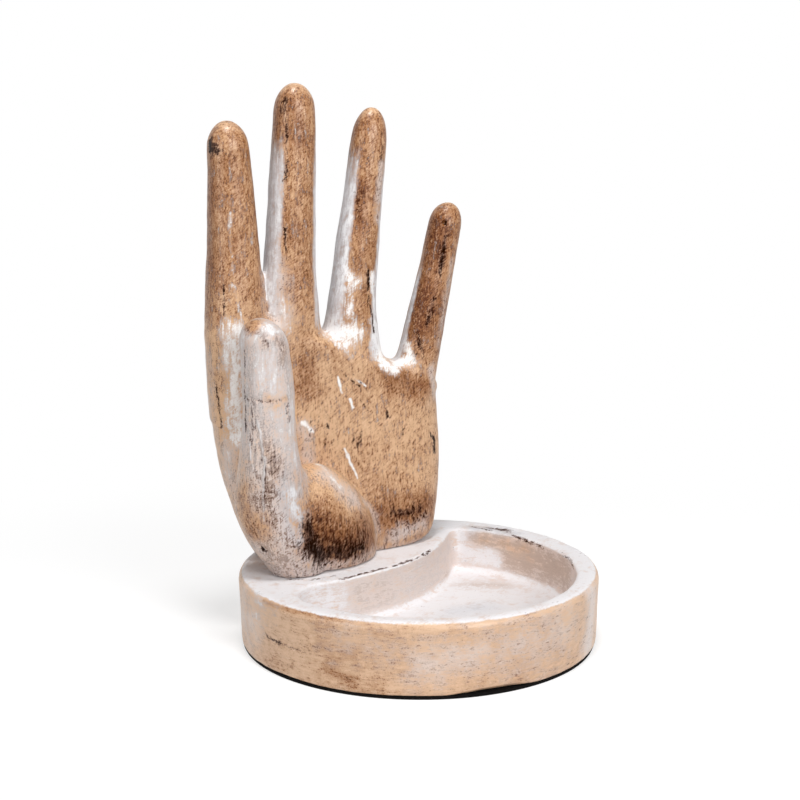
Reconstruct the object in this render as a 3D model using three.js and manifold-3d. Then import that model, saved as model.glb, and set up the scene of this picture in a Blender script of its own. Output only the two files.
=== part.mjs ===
// Hand jewelry stand: a carved wooden hand on a turned wooden tray.
// Millimetres, +Z up. The stand rests on z = 0, the palm faces -Y, and +X runs from thumb to little finger.
import * as THREE from 'three';
import { mergeVertices } from 'three/addons/utils/BufferGeometryUtils.js';
import Module from 'manifold-3d';

const wasm = await Module();
wasm.setup();

// Fits
const SCREW_CLEARANCE = 0.3;
const CUT_OVERRUN = 5;

// Black pad glued under the tray
const PAD = { thickness: 1.2, inset: 0.6 };

// Turned tray: a disc whose foot is narrower all round, with a rounded top edge and an eased bottom edge
const TRAY = { diameter: 142, footInset: 0.8, height: 27.8, topRound: 3.2, bottomRound: 0.8 };
const FOOT_RADIUS = TRAY.diameter / 2 - TRAY.footInset;

// Worn flat along the tray's lower edge; facing is the angle in degrees of its middle, from +X
const WORN_FLAT = { facing: -93, chord: 42, height: 2.4 };

// Crescent well: the rim left round it is thinnest in front and would be thickest behind
const WELL = { depth: 18, frontRim: 6.5, backRim: 15.5, draft: 1.4, floorRound: 2.8, lipRound: 0.8 };
const WELL_RADIUS = (TRAY.diameter - WELL.frontRim - WELL.backRim) / 2;
const WELL_FORWARD = (WELL.backRim - WELL.frontRim) / 2;

// Plinth left standing in the well: its front edge is an arc that faces an angle in degrees from +X, and is
// rounded into the rim at its two ends
const PLINTH = {
  facing: -62, edgeRadius: 93.6, edgeBehindAxis: 6.2, thumbSideRound: 14, littleSideRound: 5,
};

// Place of the heel's centre on the plinth
const HAND = { x: -17, y: 40 };

// Palm sections from heel to knuckles: height of the middle, reach to each side, depth to front and back;
// thinning is the share of depth lost towards the little finger at the knuckles
const PALM = {
  sections: [
    { height: 0, thumbSide: 36, littleSide: 35, front: 16.2, back: 9 },
    { height: 8, thumbSide: 43, littleSide: 40.4, front: 17.6, back: 12 },
    { height: 26, thumbSide: 50.5, littleSide: 43.6, front: 15.5, back: 13.5 },
    { height: 50, thumbSide: 54.6, littleSide: 44.9, front: 14, back: 13.5 },
    { height: 79, thumbSide: 55, littleSide: 43.4, front: 11.9, back: 11.2 },
  ],
  knuckleSlope: 23,
  topRise: 6.5,
  squareness: 2.5,
  hollow: 2.6,
  thinning: 0.14,
};

// Fingers: place across the knuckles and forward of the palm's middle, length from knuckle to tip, lean in
// degrees, sideways bow, width at root and tip, length of the round tip, and how far the root spreads into
// the webs on the thumb side and on the little finger side
const FINGERS = {
  index: {
    across: -43.9, forward: 0, length: 82.5, lean: -1.4, bow: 2, rootWidth: 24, tipWidth: 15, dome: 10,
    spread: [0, 1.5],
  },
  middle: {
    across: -22.4, forward: 0.6, length: 106.2, lean: 2.7, bow: 0, rootWidth: 23.2, tipWidth: 15.2, dome: 10,
    spread: [1.5, 4],
  },
  ring: {
    across: 3, forward: 0.9, length: 107.9, lean: 6.5, bow: -1.5, rootWidth: 21.4, tipWidth: 12.9, dome: 12,
    spread: [4, 7],
  },
  little: {
    across: 31.5, forward: 0.5, length: 83, lean: 12.7, bow: 0, rootWidth: 18.2, tipWidth: 12.5, dome: 9,
    spread: [4, 0],
  },
};

// All fingers: depth as a share of width, how far the root is sunk below the knuckles, and the share of the
// root's width and of the finger's length where the sunk end and the spread fade out
const FINGER = {
  depthShare: 0.96, squareness: 2.2, sunk: 7, rootDepth: 34, rootShare: 0.8, spreadShare: 0.36,
};

// Thumb sections from heel to tip, each level and placed by its middle
const THUMB = {
  sections: [
    { middle: [-28, -28, -4], halfWidth: 9, halfDepth: 9 },
    { middle: [-32.5, -26.5, 11], halfWidth: 14.5, halfDepth: 13 },
    { middle: [-38, -26.5, 27], halfWidth: 15.5, halfDepth: 13.5 },
    { middle: [-40.8, -29, 43], halfWidth: 12, halfDepth: 11.8 },
    { middle: [-41.6, -31, 60], halfWidth: 10.1, halfDepth: 10 },
    { middle: [-42.0, -31.5, 75], halfWidth: 9.7, halfDepth: 9.5 },
    { middle: [-43.2, -31.5, 90], halfWidth: 9.2, halfDepth: 9 },
  ],
  tip: [-45.0, -31.5, 101.2],
  squareness: 2.2,
};

// Mound of muscle at the thumb's root, an egg leaning towards the thumb
const MOUND = {
  middle: [-14.5, -20, 13], halfLength: 32, halfWidth: 21, halfDepth: 15.5, lean: 36, turn: 25,
};

// Countersunk wood screws that draw the hand down onto the plinth, placed from the heel's centre
const SCREW = { length: 46, shank: 5, head: 9.6, headEdge: 0.5, tipLength: 6, sunk: 0.4 };
const SCREW_CROSS = { length: 5.8, width: 1.2, depth: 1.4 };
const SCREW_PLACES = {
  screw_thumb_side: [-22, -10],
  screw_little_finger_side: [22, -2],
};

// Facets; a dome stops short of its pole, at an angle in degrees, and is capped there
const PALM_POINTS = 40;
const PALM_STEPS = 18;
const FINGER_POINTS = 26;
const FINGER_STEPS = 14;
const THUMB_STEPS = 16;
const MOUND_POINTS = [28, 18];
const TRAY_POINTS = 96;
const WELL_STEPS = { rim: 56, corner: 8, plinth: 28 };
const SCREW_POINTS = 24;
const ROUND_STEPS = 5;
const DOME_STOP = 83;

const paintedWood = { color: 0xb08c66, roughness: 0.55, metalness: 0 };
const whitewashedWood = { color: 0xd9cec6, roughness: 0.6, metalness: 0 };
const steel = { color: 0x8d9096, roughness: 0.35, metalness: 1 };
const blackFelt = { color: 0x111112, roughness: 0.95, metalness: 0 };

const lerp = THREE.MathUtils.lerp;
const radians = THREE.MathUtils.degToRad;
const UP = new THREE.Vector3(0, 0, 1);
const BACKWARD = new THREE.Vector3(0, 1, 0);

// Angles that step through a rounding, from 0 up to an end in degrees
function roundAngles(end) {
  return Array.from({ length: ROUND_STEPS + 1 }, (_, i) => radians((end * i) / ROUND_STEPS));
}

// Solid for joining and cutting, from any closed geometry
function solid(geometry) {
  const bare = new THREE.BufferGeometry();
  bare.setAttribute('position', geometry.getAttribute('position'));
  bare.setIndex(geometry.getIndex());
  const merged = mergeVertices(bare, 1e-4);
  return new wasm.Manifold(new wasm.Mesh({
    numProp: 3,
    vertProperties: new Float32Array(merged.getAttribute('position').array),
    triVerts: new Uint32Array(merged.getIndex().array),
  }));
}

// Geometry of a joined or cut solid
function geometryOf(manifold) {
  const mesh = manifold.getMesh();
  const geometry = new THREE.BufferGeometry();
  geometry.setAttribute('position', new THREE.BufferAttribute(new Float32Array(mesh.vertProperties), 3));
  geometry.setIndex(new THREE.BufferAttribute(new Uint32Array(mesh.triVerts), 1));
  geometry.computeVertexNormals();
  return geometry;
}

// Named piece with its own finish
function part(name, manifold, finish) {
  const mesh = new THREE.Mesh(geometryOf(manifold), new THREE.MeshStandardMaterial(finish));
  mesh.name = name;
  return mesh;
}

// Closed skin through rings that turn anticlockwise seen from the last one, with a fan over each end
function loft(rings) {
  const count = rings[0].length;
  const points = rings.flat();
  const faces = [];
  for (let r = 0; r + 1 < rings.length; r += 1) {
    for (let j = 0; j < count; j += 1) {
      const a = r * count + j;
      const b = r * count + (j + 1) % count;
      faces.push(a, b, b + count, a, b + count, a + count);
    }
  }
  const last = (rings.length - 1) * count;
  const middleOf = (ring) => ring.reduce((sum, p) => sum.add(p), new THREE.Vector3()).divideScalar(count);
  points.push(middleOf(rings[0]), middleOf(rings[rings.length - 1]));
  for (let j = 0; j < count; j += 1) {
    const next = (j + 1) % count;
    faces.push(rings.length * count, next, j);
    faces.push(rings.length * count + 1, last + j, last + next);
  }
  const geometry = new THREE.BufferGeometry().setFromPoints(points);
  geometry.setIndex(faces);
  return geometry;
}

// Point of a rounded section at an angle; the reach gives its half sizes to the right, left, front and back
function sectionPoint(angle, reach, squareness) {
  const across = Math.sign(Math.cos(angle)) * Math.abs(Math.cos(angle)) ** (2 / squareness);
  const through = Math.sign(Math.sin(angle)) * Math.abs(Math.sin(angle)) ** (2 / squareness);
  return {
    x: across * (across > 0 ? reach.right : reach.left),
    y: through * (through > 0 ? reach.back : reach.front),
  };
}

// Ring of points round a middle, square to a direction and with its depth running front to back
function sectionRing(middle, along, reach, squareness, count) {
  const across = new THREE.Vector3().crossVectors(BACKWARD, along).normalize();
  const through = new THREE.Vector3().crossVectors(along, across);
  return Array.from({ length: count }, (_, j) => {
    const p = sectionPoint((j / count) * 2 * Math.PI, reach, squareness);
    return middle.clone().addScaledVector(across, p.x).addScaledVector(through, p.y);
  });
}

// Smooth value of one size at share t of the way along a list of sections
function smoothAlong(sections, key, t) {
  return new THREE.SplineCurve(sections.map((s, i) => new THREE.Vector2(i, s[key]))).getPoint(t).y;
}

// One palm section at share t from heel to knuckles; the angle runs through the rounding over the knuckles
function palmRing(t, angle) {
  const { sections, knuckleSlope, topRise, squareness, hollow, thinning } = PALM;
  const size = (key) => smoothAlong(sections, key, t);
  const tilt = radians(knuckleSlope) * t;
  const remaining = Math.cos(angle) ** (2 / squareness);
  const lift = topRise * Math.sin(angle) ** (2 / squareness);
  const inset = topRise * (1 - remaining);
  const reach = {
    right: (size('littleSide') - inset) / Math.cos(tilt),
    left: (size('thumbSide') - inset) / Math.cos(tilt),
    front: size('front') * remaining,
    back: size('back') * remaining,
  };
  const middle = size('height');
  const cupDepth = hollow * Math.sin(Math.PI * t);
  return Array.from({ length: PALM_POINTS }, (_, j) => {
    const p = sectionPoint((j / PALM_POINTS) * 2 * Math.PI, reach, squareness);
    const share = p.x / (p.x > 0 ? reach.right : reach.left);
    const cup = p.y < 0 ? cupDepth * (1 - share * share) ** 2 : 0;
    const thin = 1 - thinning * t * Math.max(share, 0);
    return new THREE.Vector3(
      p.x * Math.cos(tilt) + lift * Math.sin(tilt),
      p.y * thin + cup,
      middle - p.x * Math.sin(tilt) + lift * Math.cos(tilt),
    );
  });
}

// Palm: sections that tilt from the level heel to the sloping knuckles, hollowed a little in front
function palm() {
  const rings = Array.from({ length: PALM_STEPS }, (_, i) => palmRing(i / PALM_STEPS, 0));
  return solid(loft([...rings, ...roundAngles(DOME_STOP).map((angle) => palmRing(1, angle))]));
}

// Tapered finger with a round tip, its root sunk in the palm at the sloping knuckles
function finger({ across, forward, length, lean, bow, rootWidth, tipWidth, dome, spread }) {
  const knuckles = PALM.sections[PALM.sections.length - 1].height;
  const rootHeight = knuckles - across * Math.tan(radians(PALM.knuckleSlope)) - FINGER.sunk;
  const root = new THREE.Vector3(across, -forward, rootHeight);
  const tip = root.clone().addScaledVector(UP.clone().applyAxisAngle(BACKWARD, radians(lean)), length);
  const bend = root.clone().lerp(tip, 0.5).add(new THREE.Vector3(bow, 0, 0));
  const line = new THREE.QuadraticBezierCurve3(root, bend, tip);
  const ring = (t, shift, width, sides) => {
    const along = line.getTangent(t);
    const half = width / 2;
    const depth = half * FINGER.depthShare;
    const reach = { right: half + sides[1], left: half + sides[0], front: depth, back: depth };
    const middle = line.getPoint(t).addScaledVector(along, shift);
    return sectionRing(middle, along, reach, FINGER.squareness, FINGER_POINTS);
  };
  const domeShare = dome / length;
  const rings = [ring(0, -FINGER.rootDepth, rootWidth * FINGER.rootShare, [0, 0])];
  for (let i = 0; i < FINGER_STEPS; i += 1) {
    const t = (i / FINGER_STEPS) * (1 - domeShare);
    const fade = Math.max(1 - t / FINGER.spreadShare, 0) ** 2;
    rings.push(ring(t, 0, lerp(rootWidth, tipWidth, t), spread.map((side) => side * fade)));
  }
  for (const angle of roundAngles(DOME_STOP)) {
    const t = 1 - domeShare * (1 - Math.sin(angle));
    rings.push(ring(t, 0, lerp(rootWidth, tipWidth, t) * Math.cos(angle), [0, 0]));
  }
  return solid(loft(rings));
}

// Thumb: level sections that swell into the heel, with a round tip
function thumb() {
  const { sections, tip, squareness } = THUMB;
  const line = new THREE.CatmullRomCurve3(sections.map((s) => new THREE.Vector3(...s.middle)));
  const ring = (middle, halfWidth, halfDepth) => {
    const reach = { right: halfWidth, left: halfWidth, front: halfDepth, back: halfDepth };
    return sectionRing(middle, UP, reach, squareness, FINGER_POINTS);
  };
  const rings = [];
  for (let i = 0; i < THUMB_STEPS; i += 1) {
    const t = i / THUMB_STEPS;
    const halfWidth = smoothAlong(sections, 'halfWidth', t);
    const halfDepth = smoothAlong(sections, 'halfDepth', t);
    rings.push(ring(line.getPoint(t), halfWidth, halfDepth));
  }
  const last = sections[sections.length - 1];
  for (const angle of roundAngles(DOME_STOP)) {
    const middle = line.getPoint(1).lerp(new THREE.Vector3(...tip), Math.sin(angle));
    rings.push(ring(middle, last.halfWidth * Math.cos(angle), last.halfDepth * Math.cos(angle)));
  }
  return solid(loft(rings));
}

// Egg of the mound, stood up, leaned and turned
function mound() {
  const egg = new THREE.SphereGeometry(1, ...MOUND_POINTS);
  egg.rotateX(Math.PI / 2);
  egg.scale(MOUND.halfWidth, MOUND.halfDepth, MOUND.halfLength);
  egg.rotateY(-radians(MOUND.lean));
  egg.rotateZ(radians(MOUND.turn));
  egg.translate(...MOUND.middle);
  return solid(egg);
}

// Screw with its head down on z = 0 and its tip up, grown by a clearance where it is used as a cutter
function screwBody(grow) {
  const { length, shank, head, headEdge, tipLength } = SCREW;
  const shankRadius = shank / 2 + grow;
  const headRadius = head / 2 + grow;
  const profile = [
    new THREE.Vector2(0, 0),
    new THREE.Vector2(headRadius, 0),
    new THREE.Vector2(headRadius, headEdge),
    new THREE.Vector2(shankRadius, headEdge + headRadius - shankRadius),
    new THREE.Vector2(shankRadius, length - tipLength),
    new THREE.Vector2(0, length + (grow * tipLength * 2) / shank),
  ];
  const geometry = new THREE.LatheGeometry(profile, SCREW_POINTS);
  geometry.rotateX(Math.PI / 2);
  return solid(geometry);
}

// One screw with a cross cut in its head
function screw(name, [x, y]) {
  const { length, width, depth } = SCREW_CROSS;
  const oneSlot = solid(new THREE.BoxGeometry(length, width, depth * 2));
  const otherSlot = solid(new THREE.BoxGeometry(width, length, depth * 2));
  const mesh = part(name, screwBody(0).subtract(oneSlot).subtract(otherSlot), steel);
  mesh.position.set(HAND.x + x, HAND.y + y, PAD.thickness + SCREW.sunk);
  return mesh;
}

// Hand carved from one block, cut off flat at the heel, with pilot holes for the screws
function hand() {
  let body = palm().add(thumb()).add(mound());
  for (const one of Object.values(FINGERS)) {
    body = body.add(finger(one));
  }
  const below = new THREE.BoxGeometry(TRAY.diameter, TRAY.diameter, TRAY.height);
  below.translate(0, 0, -TRAY.height / 2);
  body = body.subtract(solid(below));
  for (const [x, y] of Object.values(SCREW_PLACES)) {
    body = body.subtract(screwBody(SCREW_CLEARANCE).translate([x, y, SCREW.sunk - TRAY.height]));
  }
  return part('hand', body, paintedWood);
}

// Point where two circles meet: side 1 is left of the line from the first middle to the second, -1 is right
function circlesMeet(a, aRadius, b, bRadius, side) {
  const line = new THREE.Vector2().subVectors(b, a);
  const gap = line.length();
  const along = (aRadius * aRadius - bRadius * bRadius + gap * gap) / (2 * gap);
  const aside = Math.sqrt(aRadius * aRadius - along * along) * side;
  line.divideScalar(gap);
  return new THREE.Vector2(a.x + line.x * along - line.y * aside, a.y + line.y * along + line.x * aside);
}

// Points along an arc, without its last one
function arcPoints(middle, radius, from, to, steps) {
  const points = [];
  for (let i = 0; i < steps; i += 1) {
    const angle = lerp(from, to, i / steps);
    points.push(new THREE.Vector2(middle.x + radius * Math.cos(angle), middle.y + radius * Math.sin(angle)));
  }
  return points;
}

// Outline of the well grown by an offset: rim arc, corner, plinth arc, corner, anticlockwise
function wellOutline(offset) {
  const { facing, edgeRadius, edgeBehindAxis, thumbSideRound, littleSideRound } = PLINTH;
  const rimMiddle = new THREE.Vector2(0, -WELL_FORWARD);
  const away = -(edgeRadius + edgeBehindAxis);
  const plinthMiddle = new THREE.Vector2(away * Math.cos(radians(facing)), away * Math.sin(radians(facing)));
  const corner = (round, side) => circlesMeet(
    rimMiddle, WELL_RADIUS - round, plinthMiddle, edgeRadius + round, side,
  );
  const first = corner(thumbSideRound, 1);
  const second = corner(littleSideRound, -1);
  const angleTo = (from, to) => Math.atan2(to.y - from.y, to.x - from.x);
  const turnOn = (from, to) => (to < from ? to + 2 * Math.PI : to);
  const rimStart = angleTo(rimMiddle, first);
  const rimEnd = turnOn(rimStart, angleTo(rimMiddle, second));
  const secondEnd = turnOn(rimEnd, angleTo(second, plinthMiddle));
  const plinthStart = angleTo(plinthMiddle, second);
  const plinthEnd = angleTo(plinthMiddle, first);
  const firstStart = angleTo(first, plinthMiddle);
  const firstEnd = turnOn(firstStart, rimStart);
  return [
    ...arcPoints(rimMiddle, WELL_RADIUS + offset, rimStart, rimEnd, WELL_STEPS.rim),
    ...arcPoints(second, littleSideRound + offset, rimEnd, secondEnd, WELL_STEPS.corner),
    ...arcPoints(plinthMiddle, edgeRadius - offset, plinthStart, plinthEnd, WELL_STEPS.plinth),
    ...arcPoints(first, thumbSideRound + offset, firstStart, firstEnd, WELL_STEPS.corner),
  ];
}

// Hollow of the well: flat floor, rounded foot, drafted wall and rounded lip
function well() {
  const { depth, draft, floorRound, lipRound } = WELL;
  const floor = TRAY.height - depth;
  const foot = roundAngles(90).map((angle) => [
    floor + floorRound * (1 - Math.cos(angle)),
    -draft - floorRound * (1 - Math.sin(angle)),
  ]);
  const lip = roundAngles(90).map((angle) => [
    TRAY.height - lipRound * (1 - Math.sin(angle)),
    lipRound * (1 - Math.cos(angle)),
  ]);
  const stations = [...foot, ...lip, [TRAY.height + CUT_OVERRUN, lipRound]];
  return solid(loft(stations.map(([z, offset]) => (
    wellOutline(offset).map((p) => new THREE.Vector3(p.x, p.y, z))
  ))));
}

// Turned disc before the well is cut
function trayBlank() {
  const radius = TRAY.diameter / 2;
  const { height, topRound, bottomRound } = TRAY;
  const profile = new THREE.Path();
  profile.moveTo(0, 0);
  profile.lineTo(FOOT_RADIUS - bottomRound, 0);
  profile.lineTo(FOOT_RADIUS, bottomRound);
  profile.lineTo(radius, height - topRound);
  profile.absarc(radius - topRound, height - topRound, topRound, 0, Math.PI / 2, false);
  profile.lineTo(0, height);
  const geometry = new THREE.LatheGeometry(profile.getPoints(ROUND_STEPS), TRAY_POINTS);
  geometry.rotateX(Math.PI / 2);
  return solid(geometry);
}

// Wedge that takes the worn flat off the tray's lower edge
function wornFlat() {
  const { facing, chord, height } = WORN_FLAT;
  const inside = Math.sqrt(FOOT_RADIUS ** 2 - (chord / 2) ** 2);
  const wedge = new THREE.Shape();
  wedge.moveTo(inside, -CUT_OVERRUN);
  wedge.lineTo(FOOT_RADIUS + CUT_OVERRUN, -CUT_OVERRUN);
  wedge.lineTo(FOOT_RADIUS + CUT_OVERRUN, height);
  wedge.lineTo(FOOT_RADIUS, height);
  wedge.lineTo(inside, 0);
  const geometry = new THREE.ExtrudeGeometry(wedge, { depth: chord * 2, bevelEnabled: false });
  geometry.translate(0, 0, -chord);
  geometry.rotateX(Math.PI / 2);
  geometry.rotateZ(radians(facing));
  return solid(geometry);
}

// Countersunk hole for a screw, open at the tray's underside
function screwHole([x, y]) {
  const radius = SCREW.head / 2 + SCREW_CLEARANCE;
  const mouth = new THREE.CylinderGeometry(radius, radius, CUT_OVERRUN, SCREW_POINTS);
  mouth.rotateX(Math.PI / 2);
  mouth.translate(0, 0, SCREW.headEdge - CUT_OVERRUN / 2);
  return screwBody(SCREW_CLEARANCE).add(solid(mouth)).translate([HAND.x + x, HAND.y + y, SCREW.sunk]);
}

// Tray with its well, worn flat and screw holes
function tray() {
  let body = trayBlank().subtract(well()).subtract(wornFlat());
  for (const place of Object.values(SCREW_PLACES)) {
    body = body.subtract(screwHole(place));
  }
  const mesh = part('tray_base', body, whitewashedWood);
  mesh.position.z = PAD.thickness;
  return mesh;
}

// Pad a little smaller than the tray's foot
function pad() {
  const radius = FOOT_RADIUS - PAD.inset;
  const disc = new THREE.CylinderGeometry(radius, radius, PAD.thickness, TRAY_POINTS);
  disc.rotateX(Math.PI / 2);
  const mesh = part('base_pad', solid(disc), blackFelt);
  mesh.position.z = PAD.thickness / 2;
  return mesh;
}

const stand = new THREE.Group();
stand.add(pad(), tray());

const handGroup = new THREE.Group();
handGroup.position.set(HAND.x, HAND.y, PAD.thickness + TRAY.height);
handGroup.add(hand());
stand.add(handGroup);

for (const [name, place] of Object.entries(SCREW_PLACES)) {
  stand.add(screw(name, place));
}

export default stand;
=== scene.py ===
"""Looks of a hand jewelry stand: a carved, painted wooden hand on a turned wooden tray.

Sizes are written in millimetres and become metres when a mesh is stored. Marks on the wood were
picked in the photo and are noted as its pixels; View finds their places on the wood.
"""

import logging
import math
from abc import ABC, abstractmethod
from collections.abc import Callable, Iterable
from dataclasses import dataclass, field, replace
from enum import Enum
from typing import Any

import bmesh
import bpy
import numpy as np
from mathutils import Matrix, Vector, noise
from mathutils.bvhtree import BVHTree


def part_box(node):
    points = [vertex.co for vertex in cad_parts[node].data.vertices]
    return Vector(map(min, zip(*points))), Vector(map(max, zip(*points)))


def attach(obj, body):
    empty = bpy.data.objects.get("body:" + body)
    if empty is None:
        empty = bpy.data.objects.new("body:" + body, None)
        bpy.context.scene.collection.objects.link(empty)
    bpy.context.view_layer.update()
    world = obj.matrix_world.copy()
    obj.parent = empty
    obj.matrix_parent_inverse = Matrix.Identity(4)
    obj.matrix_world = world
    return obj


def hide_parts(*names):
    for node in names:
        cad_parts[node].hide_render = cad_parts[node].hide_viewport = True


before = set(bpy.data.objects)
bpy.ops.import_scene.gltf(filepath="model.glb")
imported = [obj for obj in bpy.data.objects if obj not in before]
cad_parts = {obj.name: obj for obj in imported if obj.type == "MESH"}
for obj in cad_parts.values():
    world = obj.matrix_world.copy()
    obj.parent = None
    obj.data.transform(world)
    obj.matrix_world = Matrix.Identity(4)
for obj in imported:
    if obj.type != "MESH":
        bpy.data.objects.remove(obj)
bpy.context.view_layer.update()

LOG = logging.getLogger("stand")
MM = 0.001

Point = tuple[float, float, float]
Pixel = tuple[float, float]
Colour = tuple[float, float, float]
Wave = tuple[float, float, float]
Coats = dict[str, tuple[dict[str, float], ...]]


class Layer(Enum):
    """Coats brushed onto the wood, each kept as one value per point of a skin; some of their strokes are
    painted shade, contact shadow, rim light and highlight.
    """

    WASH = "wash"
    HAZE = "haze"
    RUB = "rub"
    STAIN = "stain"
    CHILL = "chill"
    MURK = "murk"
    PAINT = "paint"


def smoothstep(low: float, high: float, values: np.ndarray) -> np.ndarray:
    """Eases values from 0 at low to 1 at high."""
    share = np.clip((values - low) / (high - low), 0.0, 1.0)
    return share * share * (3.0 - 2.0 * share)


def linear(colour: Colour) -> tuple[float, float, float, float]:
    """Turns a colour as seen on a screen, 0 to 255, into a shader's linear colour.

    Args:
        colour: Red, green and blue.

    Returns:
        The linear colour with full alpha.
    """
    parts = [part / 255.0 for part in colour]
    red, green, blue = (
        part / 12.92 if part <= 0.04045 else ((part + 0.055) / 1.055) ** 2.4 for part in parts
    )
    return red, green, blue, 1.0


@dataclass(frozen=True)
class Stroke:
    """One brush stroke, knife mark or smudge, along a path on the surface; a few strokes are painted
    shade, contact shadow, rim light and highlight.

    Attributes:
        layer: Coat that the stroke adds to.
        reach: Half of the stroke's width.
        amount: Strength along the middle of the stroke.
        path: What the stroke follows: pixels picked in the photo or, where the photo
        doesn't show the place, points in millimetres.
        lift: How far the surface rises along the stroke, negative for a cut.
    """

    layer: Layer
    reach: float
    amount: float
    path: tuple[Point | Pixel, ...]
    lift: float = 0.0

    def distance(self, points: np.ndarray) -> np.ndarray:
        """Measures how far points are from the stroke's path.

        Args:
            points: Places of the points.

        Returns:
            One distance per point.
        """
        path = np.array(self.path, dtype=float)
        nearest = np.full(len(points), np.inf)
        for start, end in zip(path[:-1], path[1:]):
            run = end - start
            share = np.clip((points - start) @ run / max(run @ run, 1e-9), 0.0, 1.0)
            gap = np.linalg.norm(points - start - share[:, None] * run, axis=1)
            nearest = np.minimum(nearest, gap)
        return nearest

    def cover(self, points: np.ndarray, reach: float) -> tuple[np.ndarray, np.ndarray]:
        """Finds the points under the stroke and how strongly each is covered.

        Args:
            points: Places of the points.
            reach: Distance at which the stroke has faded out.

        Returns:
            Indices of the points under the stroke, and 0 to 1 for each.
        """
        path = np.array(self.path, dtype=float)
        inside = np.all((points > path.min(0) - reach) & (points < path.max(0) + reach), axis=1)
        chosen = np.flatnonzero(inside)
        gap = self.distance(points[chosen])
        under = gap < reach
        return chosen[under], 1.0 - gap[under] / reach


def brush(layer: Layer) -> Callable[..., Stroke]:
    """Gives a function that notes strokes of one coat.

    Args:
        layer: Coat that the strokes add to.

    Returns:
        Function of a stroke's reach, amount, path and lift.
    """

    def stroke(reach: float, amount: float, *path: Point | Pixel, lift: float = 0.0) -> Stroke:
        """Notes one stroke."""
        return Stroke(layer, reach, amount, path, lift)

    return stroke


WASH, HAZE, RUB, STAIN, CHILL, MURK, PAINT = map(brush, Layer)


@dataclass(frozen=True)
class View:
    """The photo's view of the stand.

    Attributes:
        eye: Where the camera stands.
        aim: Point that it faces.
        lens: Its focal length.
        sensor: Width of its sensor.
        pixels: Width and height of the photo.
    """

    eye: Point = (-264.2, -549.2, 214.05)
    aim: Point = (-6.66, 3.11, 95.5)
    lens: float = 72.0
    sensor: float = 36.0
    pixels: int = 800

    def ray(self, pixel: Pixel) -> Vector:
        """Gives the direction in which the camera sees a pixel.

        Args:
            pixel: Place in the photo, from its upper left corner.

        Returns:
            The direction, of length 1.
        """
        right, down = (self.sensor * (part / self.pixels - 0.5) for part in pixel)
        turn = (Vector(self.aim) - Vector(self.eye)).to_track_quat("-Z", "Y")
        return (turn @ Vector((right, -down, -self.lens))).normalized()

    def lay(self, node: str, strokes: Iterable[Stroke]) -> list[Stroke]:
        """Lays strokes that were picked in the photo onto a CAD node.

        Args:
            node: Name of the CAD node.
            strokes: Strokes along pixels of the photo or points in millimetres.

        Returns:
            The strokes along points in millimetres. A pixel that misses the node is left out.
        """
        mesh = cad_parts[node].data
        places = [vertex.co / MM for vertex in mesh.vertices]
        solid = BVHTree.FromPolygons(places, [face.vertices for face in mesh.polygons])
        laid = []
        for stroke in strokes:
            spots = [
                solid.ray_cast(Vector(self.eye), self.ray(point))[0] if len(point) == 2 else point
                for point in stroke.path
            ]
            path = tuple(tuple(spot) for spot in spots if spot is not None)
            if len(path) > 1:
                laid.append(replace(stroke, path=path))
        return laid


VIEW = View()


def weld(node: str) -> bpy.types.Mesh:
    """Copies a CAD node's mesh and merges its loose triangles.

    Args:
        node: Name of the CAD node.

    Returns:
        The merged copy, without a material.
    """
    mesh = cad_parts[node].data.copy()
    mesh.materials.clear()
    shell = bmesh.new()
    shell.from_mesh(mesh)
    bmesh.ops.remove_doubles(shell, verts=shell.verts, dist=1e-6)
    shell.to_mesh(mesh)
    shell.free()
    return mesh


def plain_mesh(holder: bpy.types.Object) -> bpy.types.Mesh:
    """Applies an object's modifiers and removes the object.

    Args:
        holder: Object with live modifiers.

    Returns:
        The finished mesh.
    """
    made = holder.evaluated_get(bpy.context.evaluated_depsgraph_get())
    mesh = bpy.data.meshes.new_from_object(made)
    bpy.data.objects.remove(holder)
    return mesh


def place(name: str, data: bpy.types.ID) -> bpy.types.Object:
    """Puts a mesh, a lamp or a camera into the scene as an object at the origin.

    Args:
        name: Name of the object.
        data: What it shows; a mesh is in metres in the stand's frame.

    Returns:
        The new object.
    """
    piece = bpy.data.objects.new(name, data)
    bpy.context.scene.collection.objects.link(piece)
    return piece


def enlist(piece: bpy.types.Object, node: str) -> bpy.types.Object:
    """Attaches a piece to the stand's root and hides the CAD node that it replaces.

    Args:
        piece: Finished piece.
        node: CAD node that it replaces.

    Returns:
        The same piece.
    """
    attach(piece, "root")
    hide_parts(node)
    return piece


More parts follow.
